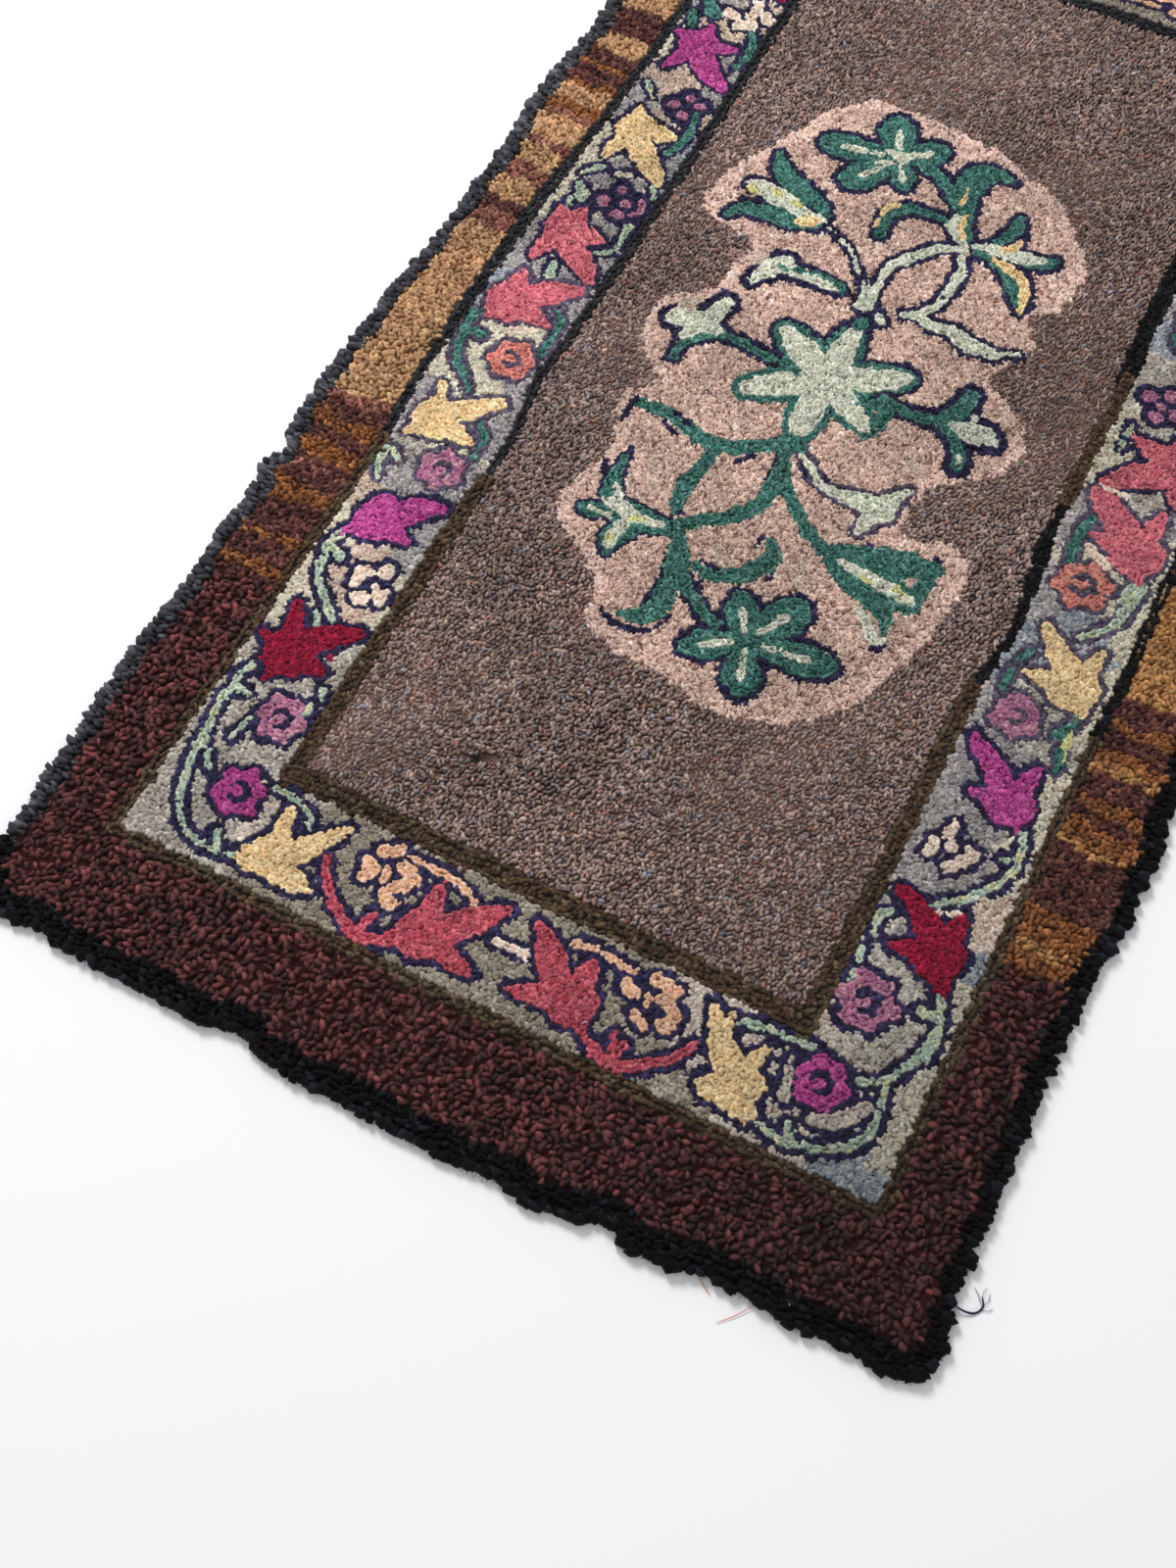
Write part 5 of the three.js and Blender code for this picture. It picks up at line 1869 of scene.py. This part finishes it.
@dataclass
class Pile:
    """One piece of the pile: many loops joined into a mesh.

    Attributes:
        name: the piece's name.
        loops: its loops.
        colours: their linear colours.
        shell: the form of each.
        origin: the place on the plan where the part's frame has its origin.
        chances: where the chances come from.
        grounded: whether the loops reach down to the floor.
    """

    name: str
    loops: Loops
    colours: np.ndarray
    shell: Shell
    origin: tuple[float, float]
    chances: np.random.Generator
    grounded: bool = False

    def build(self, finish: bpy.types.Material) -> bpy.types.Object:
        """Builds the piece and dresses it.

        Args:
            finish: its material.

        Returns:
            The piece.
        """
        order = np.lexsort((self.loops.x, np.round(self.loops.y / 9)))
        self.loops, self.colours = self.loops.where(order), self.colours[order]
        points, rise = self.skin()
        faces, flat = self.shell.faces()
        count, each = len(self.loops.x), self.shell.points()
        every = (faces[None] + (np.arange(count) * each)[:, None, None]).reshape(-1, 3)
        # Painted shade: each point's colour is darkened from the crown down to the weave's shade at the foot,
        # in place of the shade between loops.
        shade = self.of_zone("shade")[:, None]
        streak = 1 + STREAK * self.chances.normal(0, 1, rise.shape)
        colours_with_painted_shade = self.colours[:, None, :] * (streak * (shade + (1 - shade) * rise))[..., None]
        points, colours_with_painted_shade = points.reshape(-1, 3), colours_with_painted_shade.reshape(-1, 3)
        made = built_mesh(self.name, points, every, np.tile(~flat, count), colours_with_painted_shade, self.bake_plan())
        made.data.materials.append(finish)
        return made

    def of_zone(self, name: str) -> np.ndarray:
        """Returns one of the weaves' numbers for each loop."""
        return weave_values(self.loops, name)

    def skin(self) -> tuple[np.ndarray, np.ndarray]:
        """Places every loop's points.

        Returns:
            The points of each loop in metres, and how high each is as a share of its loop's height.
        """
        loops, chances, shell = self.loops, self.chances, self.shell
        count, corners = len(loops.x), shell.corners
        length, width = self.of_zone("length"), self.of_zone("width")
        swell = swell_at(loops.x, loops.y)
        rough = self.of_zone("loose") / USUAL_LOOSE
        uneven = np.clip(chances.normal(0, TOP_JITTER, count) * np.sqrt(rough), *TOP_RANGE)
        top = self.of_zone("top") + swell + uneven
        size = 1 + SIZE_SPREAD * np.clip(chances.normal(0, 1, count), -2, 2)
        foot = np.zeros(count) if self.grounded else self.of_zone("foot") + swell
        u, v, z, rise = [], [], [], []
        bulge = 1 + BULGE * np.clip(chances.normal(0, 1, (count, corners)), -2, 2)
        for height, reach in shell.rings:
            radius = bulge * reach * size[:, None] / 2
            u.append(radius * np.cos(shell.angles()) * length[:, None])
            v.append(radius * np.sin(shell.angles()) * width[:, None])
            level = foot + height * (top - foot)
            z.append(np.repeat(level[:, None], corners, axis=1))
            rise.append(np.full((count, corners), height))
        half_crown = shell.crown * length * size / 2
        slip = chances.normal(0, CROWN_JITTER, (count, 2)) * rough[:, None]
        u.append(np.stack([half_crown, -half_crown], axis=1) + CROWN_SHARE * slip)
        v.append(slip[:, ::-1])
        z.append(top[:, None] + chances.normal(0, CROWN_LIFT, (count, 2)) * rough[:, None] - CROWN_DIP)
        rise.append(np.ones((count, 2)))
        u, v, z, rise = (np.concatenate(part, axis=1) for part in (u, v, z, rise))
        turn_x, turn_y = np.cos(loops.way)[:, None], np.sin(loops.way)[:, None]
        x = loops.x[:, None] - self.origin[0] + u * turn_x - v * turn_y
        y = loops.y[:, None] - self.origin[1] + u * turn_y + v * turn_x
        return np.stack([x, y, z], axis=2) * MM, rise

    def bake_plan(self) -> np.ndarray:
        """Lays the loops out on the bake's square, each in a cell of its own.

        Returns:
            The place of each triangle's corners.
        """
        shell, count = self.shell, len(self.loops.x)
        rings = len(shell.rings)
        reach = np.repeat(CELL_REACH - CELL_STEP * np.arange(rings) / rings, shell.corners)
        angle = np.tile(shell.angles(), rings)
        spread = np.stack([0.5 + reach * np.cos(angle), 0.5 + reach * np.sin(angle)], axis=1)
        spread = np.vstack([spread, CELL_CROWN])
        corner = CELL_CORNER + CELL_FOOT * np.stack([np.cos(shell.angles()), np.sin(shell.angles())], axis=1)
        faces, flat = shell.faces()
        cell = spread[faces]
        cell[flat] = corner[faces[flat]]
        side = math.ceil(math.sqrt(count))
        number = np.arange(count)
        place = np.stack([number % side, number // side], axis=1)
        return ((place[:, None, None, :] + cell[None]) / side).reshape(-1, 2)


@dataclass(frozen=True)
class Thread:
    """A loose thread or fibre.

    Attributes:
        knots: the places it runs through: x and y on the plan, and height over the floor.
        width: how thick it is.
        shade: its colour, as sRGB from 0 to 255.
    """

    knots: tuple[Knot, ...]
    width: float
    shade: tuple[int, int, int]


@dataclass
class Threads:
    """Loose threads joined into one mesh, each a thin tube that tapers to its ends.

    Attributes:
        name: the piece's name.
        threads: the threads.
        origin: the place on the plan where the part's frame has its origin.
        sides: how many sides each tube has.
        step: how long a stretch of a tube is.
        taper: the share of its width that a tube has lost at its ends.
    """

    name: str
    threads: list[Thread]
    origin: tuple[float, float]
    sides: int = 3
    step: float = 2.4
    taper: float = 0.6

    def build(self, finish: bpy.types.Material) -> bpy.types.Object:
        """Builds the threads and dresses them.

        Args:
            finish: their material.

        Returns:
            The piece.
        """
        across = math.ceil(math.sqrt(len(self.threads)))
        points, faces, colours, plan = [], [], [], []
        start = 0
        for number, thread in enumerate(self.threads):
            rings = self.rings(thread)
            made, cells = self.tube(len(rings))
            points.append(rings.reshape(-1, 3))
            faces.append(made + start)
            plan.append((cells + np.array([number % across, number // across])) / across)
            shade = linear_colour(np.array(thread.shade, dtype=float))
            colours.append(np.tile(shade, (rings.shape[0] * self.sides, 1)))
            start += rings.shape[0] * self.sides
        points, every, colours, plan = (np.concatenate(part) for part in (points, faces, colours, plan))
        soft = np.ones(len(every), dtype=bool)
        made = built_mesh(self.name, points * MM, every, soft, colours, plan.reshape(-1, 2))
        made.data.materials.append(finish)
        return made

    def rings(self, thread: Thread) -> np.ndarray:
        """Places a thread's points, a ring for each place along it.

        Args:
            thread: the thread.

        Returns:
            The rings.
        """
        line = curve_through(np.array(thread.knots, dtype=float), self.step)
        line[:, :2] -= self.origin
        ahead = np.gradient(line, axis=0)
        ahead /= np.linalg.norm(ahead, axis=1)[:, None] + TINY
        beside = np.cross(ahead, (0.0, 0.0, 1.0))
        beside /= np.linalg.norm(beside, axis=1)[:, None] + TINY
        above = np.cross(beside, ahead)
        share = np.linspace(0, 1, len(line))
        reach = thread.width / 2 * (1 - self.taper * np.abs(2 * share - 1) ** 3)
        turns = 2 * math.pi * np.arange(self.sides) / self.sides
        spread = [math.cos(turn) * beside + math.sin(turn) * above for turn in turns]
        return line[:, None] + np.stack(spread, axis=1) * reach[:, None, None]

    def tube(self, count: int) -> tuple[np.ndarray, np.ndarray]:
        """Joins the points of one tube.

        Args:
            count: how many rings it has.

        Returns:
            The tube's triangles, and the places of their corners in its bake cell.
        """
        n, faces, cells = self.sides, [], []
        for ring in range(count - 1):
            for k in range(n):
                here, there = ring * n + k, ring * n + (k + 1) % n
                left, right = 0.05 + 0.7 * k / n, 0.05 + 0.7 * (k + 1) / n
                low, high = 0.05 + 0.9 * ring / (count - 1), 0.05 + 0.9 * (ring + 1) / (count - 1)
                faces += [(here, here + n, there + n), (here, there + n, there)]
                cells.append(((left, low), (left, high), (right, high)))
                cells.append(((left, low), (right, high), (right, low)))
        last = (count - 1) * n
        for k in range(1, n - 1):
            faces += [(0, k, k + 1), (last, last + k + 1, last + k)]
            cells += [((0.8, 0.1), (0.9, 0.1), (0.9, 0.2)), ((0.8, 0.3), (0.9, 0.3), (0.9, 0.4))]
        return np.array(faces), np.array(cells)


@dataclass(frozen=True)
class Fuzz:
    """Short fibres that stand out from the rug's edge.

    Attributes:
        spacing: how far apart they are.
        depth: how far inside the outline they start.
        reach: their shortest and longest length.
        width: how thick a fibre is.
        splay: how far its way strays, in radians.
        bend: how far it turns on its way, in radians.
        stretches: the shares of its length before and after the turn.
        starts: how high it starts, lowest and highest.
        ends: how high it ends, lowest and highest.
    """

    spacing: float = 3.2
    depth: float = 2.5
    reach: tuple[float, float] = (2.0, 5.5)
    width: float = 0.5
    splay: float = 0.55
    bend: float = 0.5
    stretches: tuple[float, float] = (0.55, 0.45)
    starts: tuple[float, float] = (2.5, 8.0)
    ends: tuple[float, float] = (0.6, 5.0)

    def threads(self, plan: Plan, chances: np.random.Generator) -> list[Thread]:
        """Sets the fibres round the rug.

        Args:
            plan: the rug's plan.
            chances: where the chances come from.

        Returns:
            The fibres.
        """
        found = []
        for line, closed in plan.lines(plan.depth, self.depth):
            places, ways = spaced(line, closed, self.spacing)
            out = np.stack([np.sin(ways), -np.cos(ways)], axis=1)
            outside = plan.outline.depth(*(places + out).T) < self.depth
            out = out * np.where(outside, 1, -1)[:, None]
            for (x, y), (away_x, away_y) in zip(places.tolist(), out.tolist()):
                found.append(self.fibre(x, y, math.atan2(away_y, away_x), chances))
        return found

    def fibre(self, x: float, y: float, way: float, chances: np.random.Generator) -> Thread:
        """Bends one fibre.

        Args:
            x: where it starts.
            y: where it starts.
            way: about which way it leaves, in radians.
            chances: where the chances come from.

        Returns:
            The fibre.
        """
        way += chances.normal(0, self.splay)
        turn = chances.normal(0, self.bend)
        length = self.reach[0] + (self.reach[1] - self.reach[0]) * chances.uniform() ** 2
        high, low = chances.uniform(*self.starts), chances.uniform(*self.ends)
        first, last = (share * length for share in self.stretches)
        mid_x, mid_y = x + first * math.cos(way), y + first * math.sin(way)
        way += turn
        end_x, end_y = mid_x + last * math.cos(way), mid_y + last * math.sin(way)
        knots = ((x, y, high), (mid_x, mid_y, (high + low) / 2 + 0.5), (end_x, end_y, low))
        return Thread(knots, self.width, Wool.BLACK.value.shades[chances.integers(0, 3)])


NAVY_YARN = (40, 36, 72)
ORANGE_JUTE = (206, 112, 62)
PALE_JUTE = (226, 178, 132)
LINT_WHITE = (232, 230, 226)
BURLAP = (150, 128, 98)
# Painted shade on the cloth's top, which shows between the loops: how dark the wool legs are made, and how
# much less so for light wools.
LEG_PAINTED_SHADE, LEG_PAINTED_LIFT = 0.12, 0.7
BACK_WOOL, BACK_BURLAP = 0.62, 0.3

YARN_TAIL = (
    Thread(
        ((378, -643, 5), (386, -643.5, 3), (393, -641, 1.2), (396, -635, 1.0), (393, -629, 1.4)),
        1.9, NAVY_YARN,
    ),
    Thread(((394, -634, 1.4), (390, -629, 2.2), (386, -626, 1.6)), 0.6, NAVY_YARN),
    Thread(((395, -636, 1.2), (398, -630, 1.6), (397, -625, 1.0)), 0.6, NAVY_YARN),
    Thread(((394, -632, 1.4), (393, -627, 2.0), (394, -622, 1.2)), 0.5, NAVY_YARN),
    Thread(((395, -638, 1.0), (400, -636, 1.2), (403, -633, 0.8)), 0.5, NAVY_YARN),
)
JUTE_ENDS = (
    Thread(((215, -698, 2), (226, -706, 1.4), (235, -711, 0.9)), 0.7, ORANGE_JUTE),
    Thread(((264, -702, 2), (256, -714, 1.2), (246, -725, 0.8)), 0.7, ORANGE_JUTE),
    Thread(((-163, -696, 7), (-161, -700, 7.5), (-158, -705, 5)), 1.3, ORANGE_JUTE),
    Thread(((-153, -700, 7), (-151, -704, 6), (-152, -708, 4)), 1.2, ORANGE_JUTE),
    Thread(((-136, -702, 6), (-134, -706, 5.5), (-131, -709, 4)), 1.0, PALE_JUTE),
    Thread(((282, -691, 8.5), (284, -695, 8), (285, -698, 6)), 1.5, PALE_JUTE),
)
LINT = (
    Thread(((-125, -502, 9), (-124, -498, 10.4), (-122, -494, 9.6)), 0.7, LINT_WHITE),
    Thread(((121, -504, 9), (122, -501, 10.2), (124, -498, 9.4)), 0.7, LINT_WHITE),
    Thread(((74, -588, 9.4), (75, -586, 10.4), (77, -584, 9.6)), 0.8, LINT_WHITE),
    Thread(((127, -154, 9), (128, -152, 10.2), (130, -151, 9.4)), 0.9, LINT_WHITE),
    Thread(((112, -103, 9), (113, -101, 10.2), (115, -101, 9.4)), 0.9, LINT_WHITE),
    Thread(((101, -240, 9), (102, -238, 10.2), (104, -238, 9.4)), 1.0, LINT_WHITE),
)


@dataclass
class Backing:
    """The cloth that the loops are hooked through, with their packed legs above it and their backs below.

    Attributes:
        plan: the rug's plan.
        origin: the place on the plan where the part's frame has its origin.
        inset: how far inside the outline it ends.
        thickness: how thick the cloth is with the loops' legs.
        steps: how many cells it has across and along.
    """

    plan: Plan
    origin: tuple[float, float]
    inset: float = 4.0
    thickness: float = 5.6
    steps: tuple[int, int] = (56, 104)

    def build(self, finish: bpy.types.Material) -> bpy.types.Object:
        """Builds the cloth and dresses it.

        Args:
            finish: its material.

        Returns:
            The cloth.
        """
        bpy.ops.mesh.primitive_grid_add(x_subdivisions=self.steps[0], y_subdivisions=self.steps[1], size=1)
        made = bpy.context.active_object
        made.name = made.data.name = "backing_cloth"
        count = len(made.data.vertices)
        square = np.zeros(count * 3, dtype=np.float32)
        made.data.vertices.foreach_get("co", square)
        x, y = self.fitted(*square.reshape(-1, 3)[:, :2].T)
        flat = np.stack([(x - self.origin[0]) * MM, (y - self.origin[1]) * MM, np.zeros(count)], axis=1)
        made.data.vertices.foreach_set("co", flat.astype(np.float32).ravel())
        made.data.update()
        thick = made.modifiers.new("thickness", "SOLIDIFY")
        thick.thickness = self.thickness * MM
        thick.offset = 1.0
        bpy.ops.object.modifier_apply(modifier=thick.name)
        self.colour_and_paint_shade(made.data)
        made.data.materials.append(finish)
        return made

    def fitted(self, u: np.ndarray, v: np.ndarray) -> tuple[np.ndarray, np.ndarray]:
        """Fits a square's places to the outline.

        Args:
            u: the places across the square, from -0.5 to 0.5.
            v: the places along it, from -0.5 to 0.5.

        Returns:
            The places' x and y on the plan.
        """
        outline = self.plan.outline
        x, y = u * outline.width, v * outline.length
        left = -outline.width / 2 - outline.stray(Side.LEFT, y) + self.inset
        right = outline.width / 2 + outline.stray(Side.RIGHT, y) - self.inset
        bottom = -outline.length / 2 - outline.stray(Side.BOTTOM, x) + self.inset
        top = outline.length / 2 + outline.stray(Side.TOP, x) - self.inset
        x, y = left + (right - left) * (u + 0.5), bottom + (top - bottom) * (v + 0.5)
        reach_x = outline.corner - np.minimum(x - left, right - x) - self.inset
        reach_y = outline.corner - np.minimum(y - bottom, top - y) - self.inset
        reach = np.hypot(np.clip(reach_x, 0, None), np.clip(reach_y, 0, None))
        round_by = outline.corner - self.inset
        over = (reach_x > 0) & (reach_y > 0) & (reach > round_by)
        share = np.where(over, 1 - round_by / np.maximum(reach, TINY), 0)
        x = x - np.sign(x) * share * np.clip(reach_x, 0, None)
        y = y - np.sign(y) * share * np.clip(reach_y, 0, None)
        return x, y

    def colour_and_paint_shade(self, mesh: bpy.types.Mesh) -> None:
        """Colours the cloth: on top the wool legs, darkened with painted shade because the top shows only in
        the gaps between loops; below, the loops' backs on burlap.

        Args:
            mesh: the cloth's mesh.
        """
        count = len(mesh.vertices)
        places = np.zeros(count * 3, dtype=np.float32)
        mesh.vertices.foreach_get("co", places)
        places = places.reshape(-1, 3)
        x, y = places[:, 0] / MM + self.origin[0], places[:, 1] / MM + self.origin[1]
        usual = np.array([wool.value.shades[0] for wool in WOOLS], dtype=float)
        local = linear_colour(usual[self.plan.wool[self.plan.cell(x, y)]])
        burlap = linear_colour(np.array([BURLAP], dtype=float))
        above = places[:, 2] > self.thickness * MM / 2
        # Painted shade: the legs are darkened, most of all for dark wools, in place of the shade between the
        # loops.
        legs = local * (LEG_PAINTED_SHADE + LEG_PAINTED_LIFT * local)
        colours = np.where(above[:, None], legs, local * BACK_WOOL + burlap * BACK_BURLAP)
        paint_points(mesh, colours)


@dataclass
class Rug:
    """The whole rug.

    Attributes:
        outline: its outline.
        pieces: what it is made of, once built.
    """

    outline: Outline = field(default_factory=Outline)
    pieces: list[bpy.types.Object] = field(default_factory=list)

    def build(self) -> None:
        """Hooks the pile, builds every piece and hands it to the frame."""
        chances = np.random.default_rng(SEED)
        plan = Plan(self.outline)
        log.info("plan: %d figures", len(plan.windows))
        loops = Hooking(plan, chances).loops()
        log.info("pile: %d loops", len(loops.x))
        colours = dyed(loops, chances)
        origin = self.outline.centre()
        wool = WoolFinish().material("wool_loops")
        coarse = WoolFinish(roughness=0.65, gloss=0.2).material("coarse_wool_loops")
        dull = WoolFinish(roughness=0.8, sheen=0.02, gloss=0.1).material("edge_wool_loops")
        backing = Backing(plan, origin).build(WoolFinish(roughness=0.97).material("hooked_backing"))
        near = loops.y < 0
        in_zone = {zone: loops.zone == zone.value for zone in Zone}
        parts = (
            ("field_pile_near", in_zone[Zone.FIELD] & near, PLAIN_SHELL, wool),
            ("field_pile_far", in_zone[Zone.FIELD] & ~near, SLIGHT_SHELL, wool),
            ("medallion_pile_near", in_zone[Zone.MEDALLION] & near, SLIGHT_SHELL, wool),
            ("medallion_pile_far", in_zone[Zone.MEDALLION] & ~near, SLIGHT_SHELL, wool),
            ("border_pile_near", in_zone[Zone.BORDER] & near, PLAIN_SHELL, wool),
            ("border_pile_far", in_zone[Zone.BORDER] & ~near, SLIGHT_SHELL, wool),
            ("rule_pile", in_zone[Zone.RULE], STOUT_SHELL, wool),
            ("band_pile", in_zone[Zone.BAND], STOUT_SHELL, coarse),
            ("stripe_pile", in_zone[Zone.STRIPE], PLAIN_SHELL, wool),
            ("edge_pile", in_zone[Zone.EDGE] & ~loops.outer, STOUT_SHELL, dull),
            ("edge_outer_row", in_zone[Zone.EDGE] & loops.outer, EDGE_SHELL, dull),
        )
        for name, chosen, shell, dress in parts:
            grounded = shell is EDGE_SHELL
            pile = Pile(name, loops.where(chosen), colours[chosen], shell, origin, chances, grounded)
            made = pile.build(dress)
            self.pieces.append(made)
            log.info("%s: %d loops, %d triangles", name, chosen.sum(), len(made.data.polygons))
        ends = (
            ("edge_fuzz", Fuzz().threads(plan, chances)),
            ("yarn_tail", list(YARN_TAIL)),
            ("jute_ends", list(JUTE_ENDS)),
            ("lint", list(LINT)),
        )
        for name, threads in ends:
            made = Threads(name, threads, origin).build(wool)
            self.pieces.append(made)
            log.info("%s: %d threads, %d triangles", name, len(threads), len(made.data.polygons))
        for piece in [backing, *self.pieces]:
            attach(piece, BODY)
        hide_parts(RUG_NODE)
        log.info("backing_cloth: %d faces", len(backing.data.polygons))


@dataclass(frozen=True)
class Studio:
    """The plain floor, the soft light and the camera, in metres on the rug's plan.

    Attributes:
        eye: where the camera stands.
        aim: what it looks at.
        roll: how far it is turned about its own line of sight, in degrees.
        lens: its focal length, in millimetres.
        sensor: its sensor's width, in millimetres.
        floor: the floor's colour.
        floor_size: how wide it is.
        lamp_place: where the lamp hangs.
        lamp_aim: what it points at.
        lamp_size: how wide it is.
        lamp_power: its power, in watts.
        room: the colour of the light all round.
        room_power: how strong that light is.
    """

    eye: tuple[float, float, float] = (0.281, -0.920, 1.212)
    aim: tuple[float, float, float] = (-0.011, -0.417, 0.0)
    roll: float = 2.61
    lens: float = 41.15
    sensor: float = 36
    floor: tuple[float, float, float, float] = (0.955, 0.955, 0.96, 1)
    floor_size: float = 14
    lamp_place: tuple[float, float, float] = (-2.0, 1.2, 2.6)
    lamp_aim: tuple[float, float, float] = (0, -0.1, 0)
    lamp_size: float = 1.2
    lamp_power: float = 92
    room: tuple[float, float, float, float] = (0.97, 0.985, 1.0, 1)
    room_power: float = 0.58

    def build(self, origin: tuple[float, float]) -> None:
        """Sets up the floor, the lights and the camera.

        Args:
            origin: the place on the plan where the part's frame has its origin.
        """
        shift = Vector((origin[0] * MM, origin[1] * MM, 0))
        self.lay_floor()
        self.light()
        self.place_camera(Vector(self.eye) - shift, Vector(self.aim) - shift)
        bpy.context.scene.view_settings.view_transform = "Standard"

    def lay_floor(self) -> None:
        """Lays a plain pale floor."""
        bpy.ops.mesh.primitive_plane_add(size=self.floor_size, location=(0, 0, 0))
        floor = bpy.context.active_object
        floor.name = "floor"
        paint = bpy.data.materials.new("pale_floor")
        paint.use_nodes = True
        shader = paint.node_tree.nodes["Principled BSDF"]
        shader.inputs["Base Color"].default_value = self.floor
        shader.inputs["Roughness"].default_value = 0.9
        floor.data.materials.append(paint)

    def light(self) -> None:
        """Hangs a large soft lamp behind to the left, and lights the room evenly."""
        data = bpy.data.lights.new("soft_lamp", "AREA")
        data.shape = "SQUARE"
        data.size = self.lamp_size
        data.energy = self.lamp_power
        lamp = bpy.data.objects.new("soft_lamp", data)
        bpy.context.scene.collection.objects.link(lamp)
        lamp.location = self.lamp_place
        lamp.rotation_euler = (Vector(self.lamp_aim) - lamp.location).to_track_quat("-Z", "Y").to_euler()
        world = bpy.context.scene.world or bpy.data.worlds.new("room")
        bpy.context.scene.world = world
        world.use_nodes = True
        ground = world.node_tree.nodes["Background"]
        ground.inputs["Color"].default_value = self.room
        ground.inputs["Strength"].default_value = self.room_power

    def place_camera(self, eye: Vector, aim: Vector) -> None:
        """Puts the camera where the photo was taken.

        Args:
            eye: where it stands.
            aim: what it looks at.
        """
        data = bpy.data.cameras.new("camera")
        data.lens = self.lens
        data.sensor_width = self.sensor
        data.clip_start = 0.02
        camera = bpy.data.objects.new("camera", data)
        bpy.context.scene.collection.objects.link(camera)
        forward = (aim - eye).normalized()
        level = forward.cross(Vector((0, 0, 1))).normalized()
        upright = level.cross(forward)
        angle = math.radians(self.roll)
        right = level * math.cos(angle) - upright * math.sin(angle)
        up = right.cross(forward)
        turn = Matrix((right, up, -forward)).transposed()
        camera.matrix_world = Matrix.Translation(eye) @ turn.to_4x4()
        bpy.context.scene.camera = camera


def main() -> None:
    """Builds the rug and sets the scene."""
    logging.basicConfig(level=logging.INFO, format="%(message)s")
    rug = Rug()
    rug.build()
    Studio().build(rug.outline.centre())


if __name__ == "__main__":
    main()
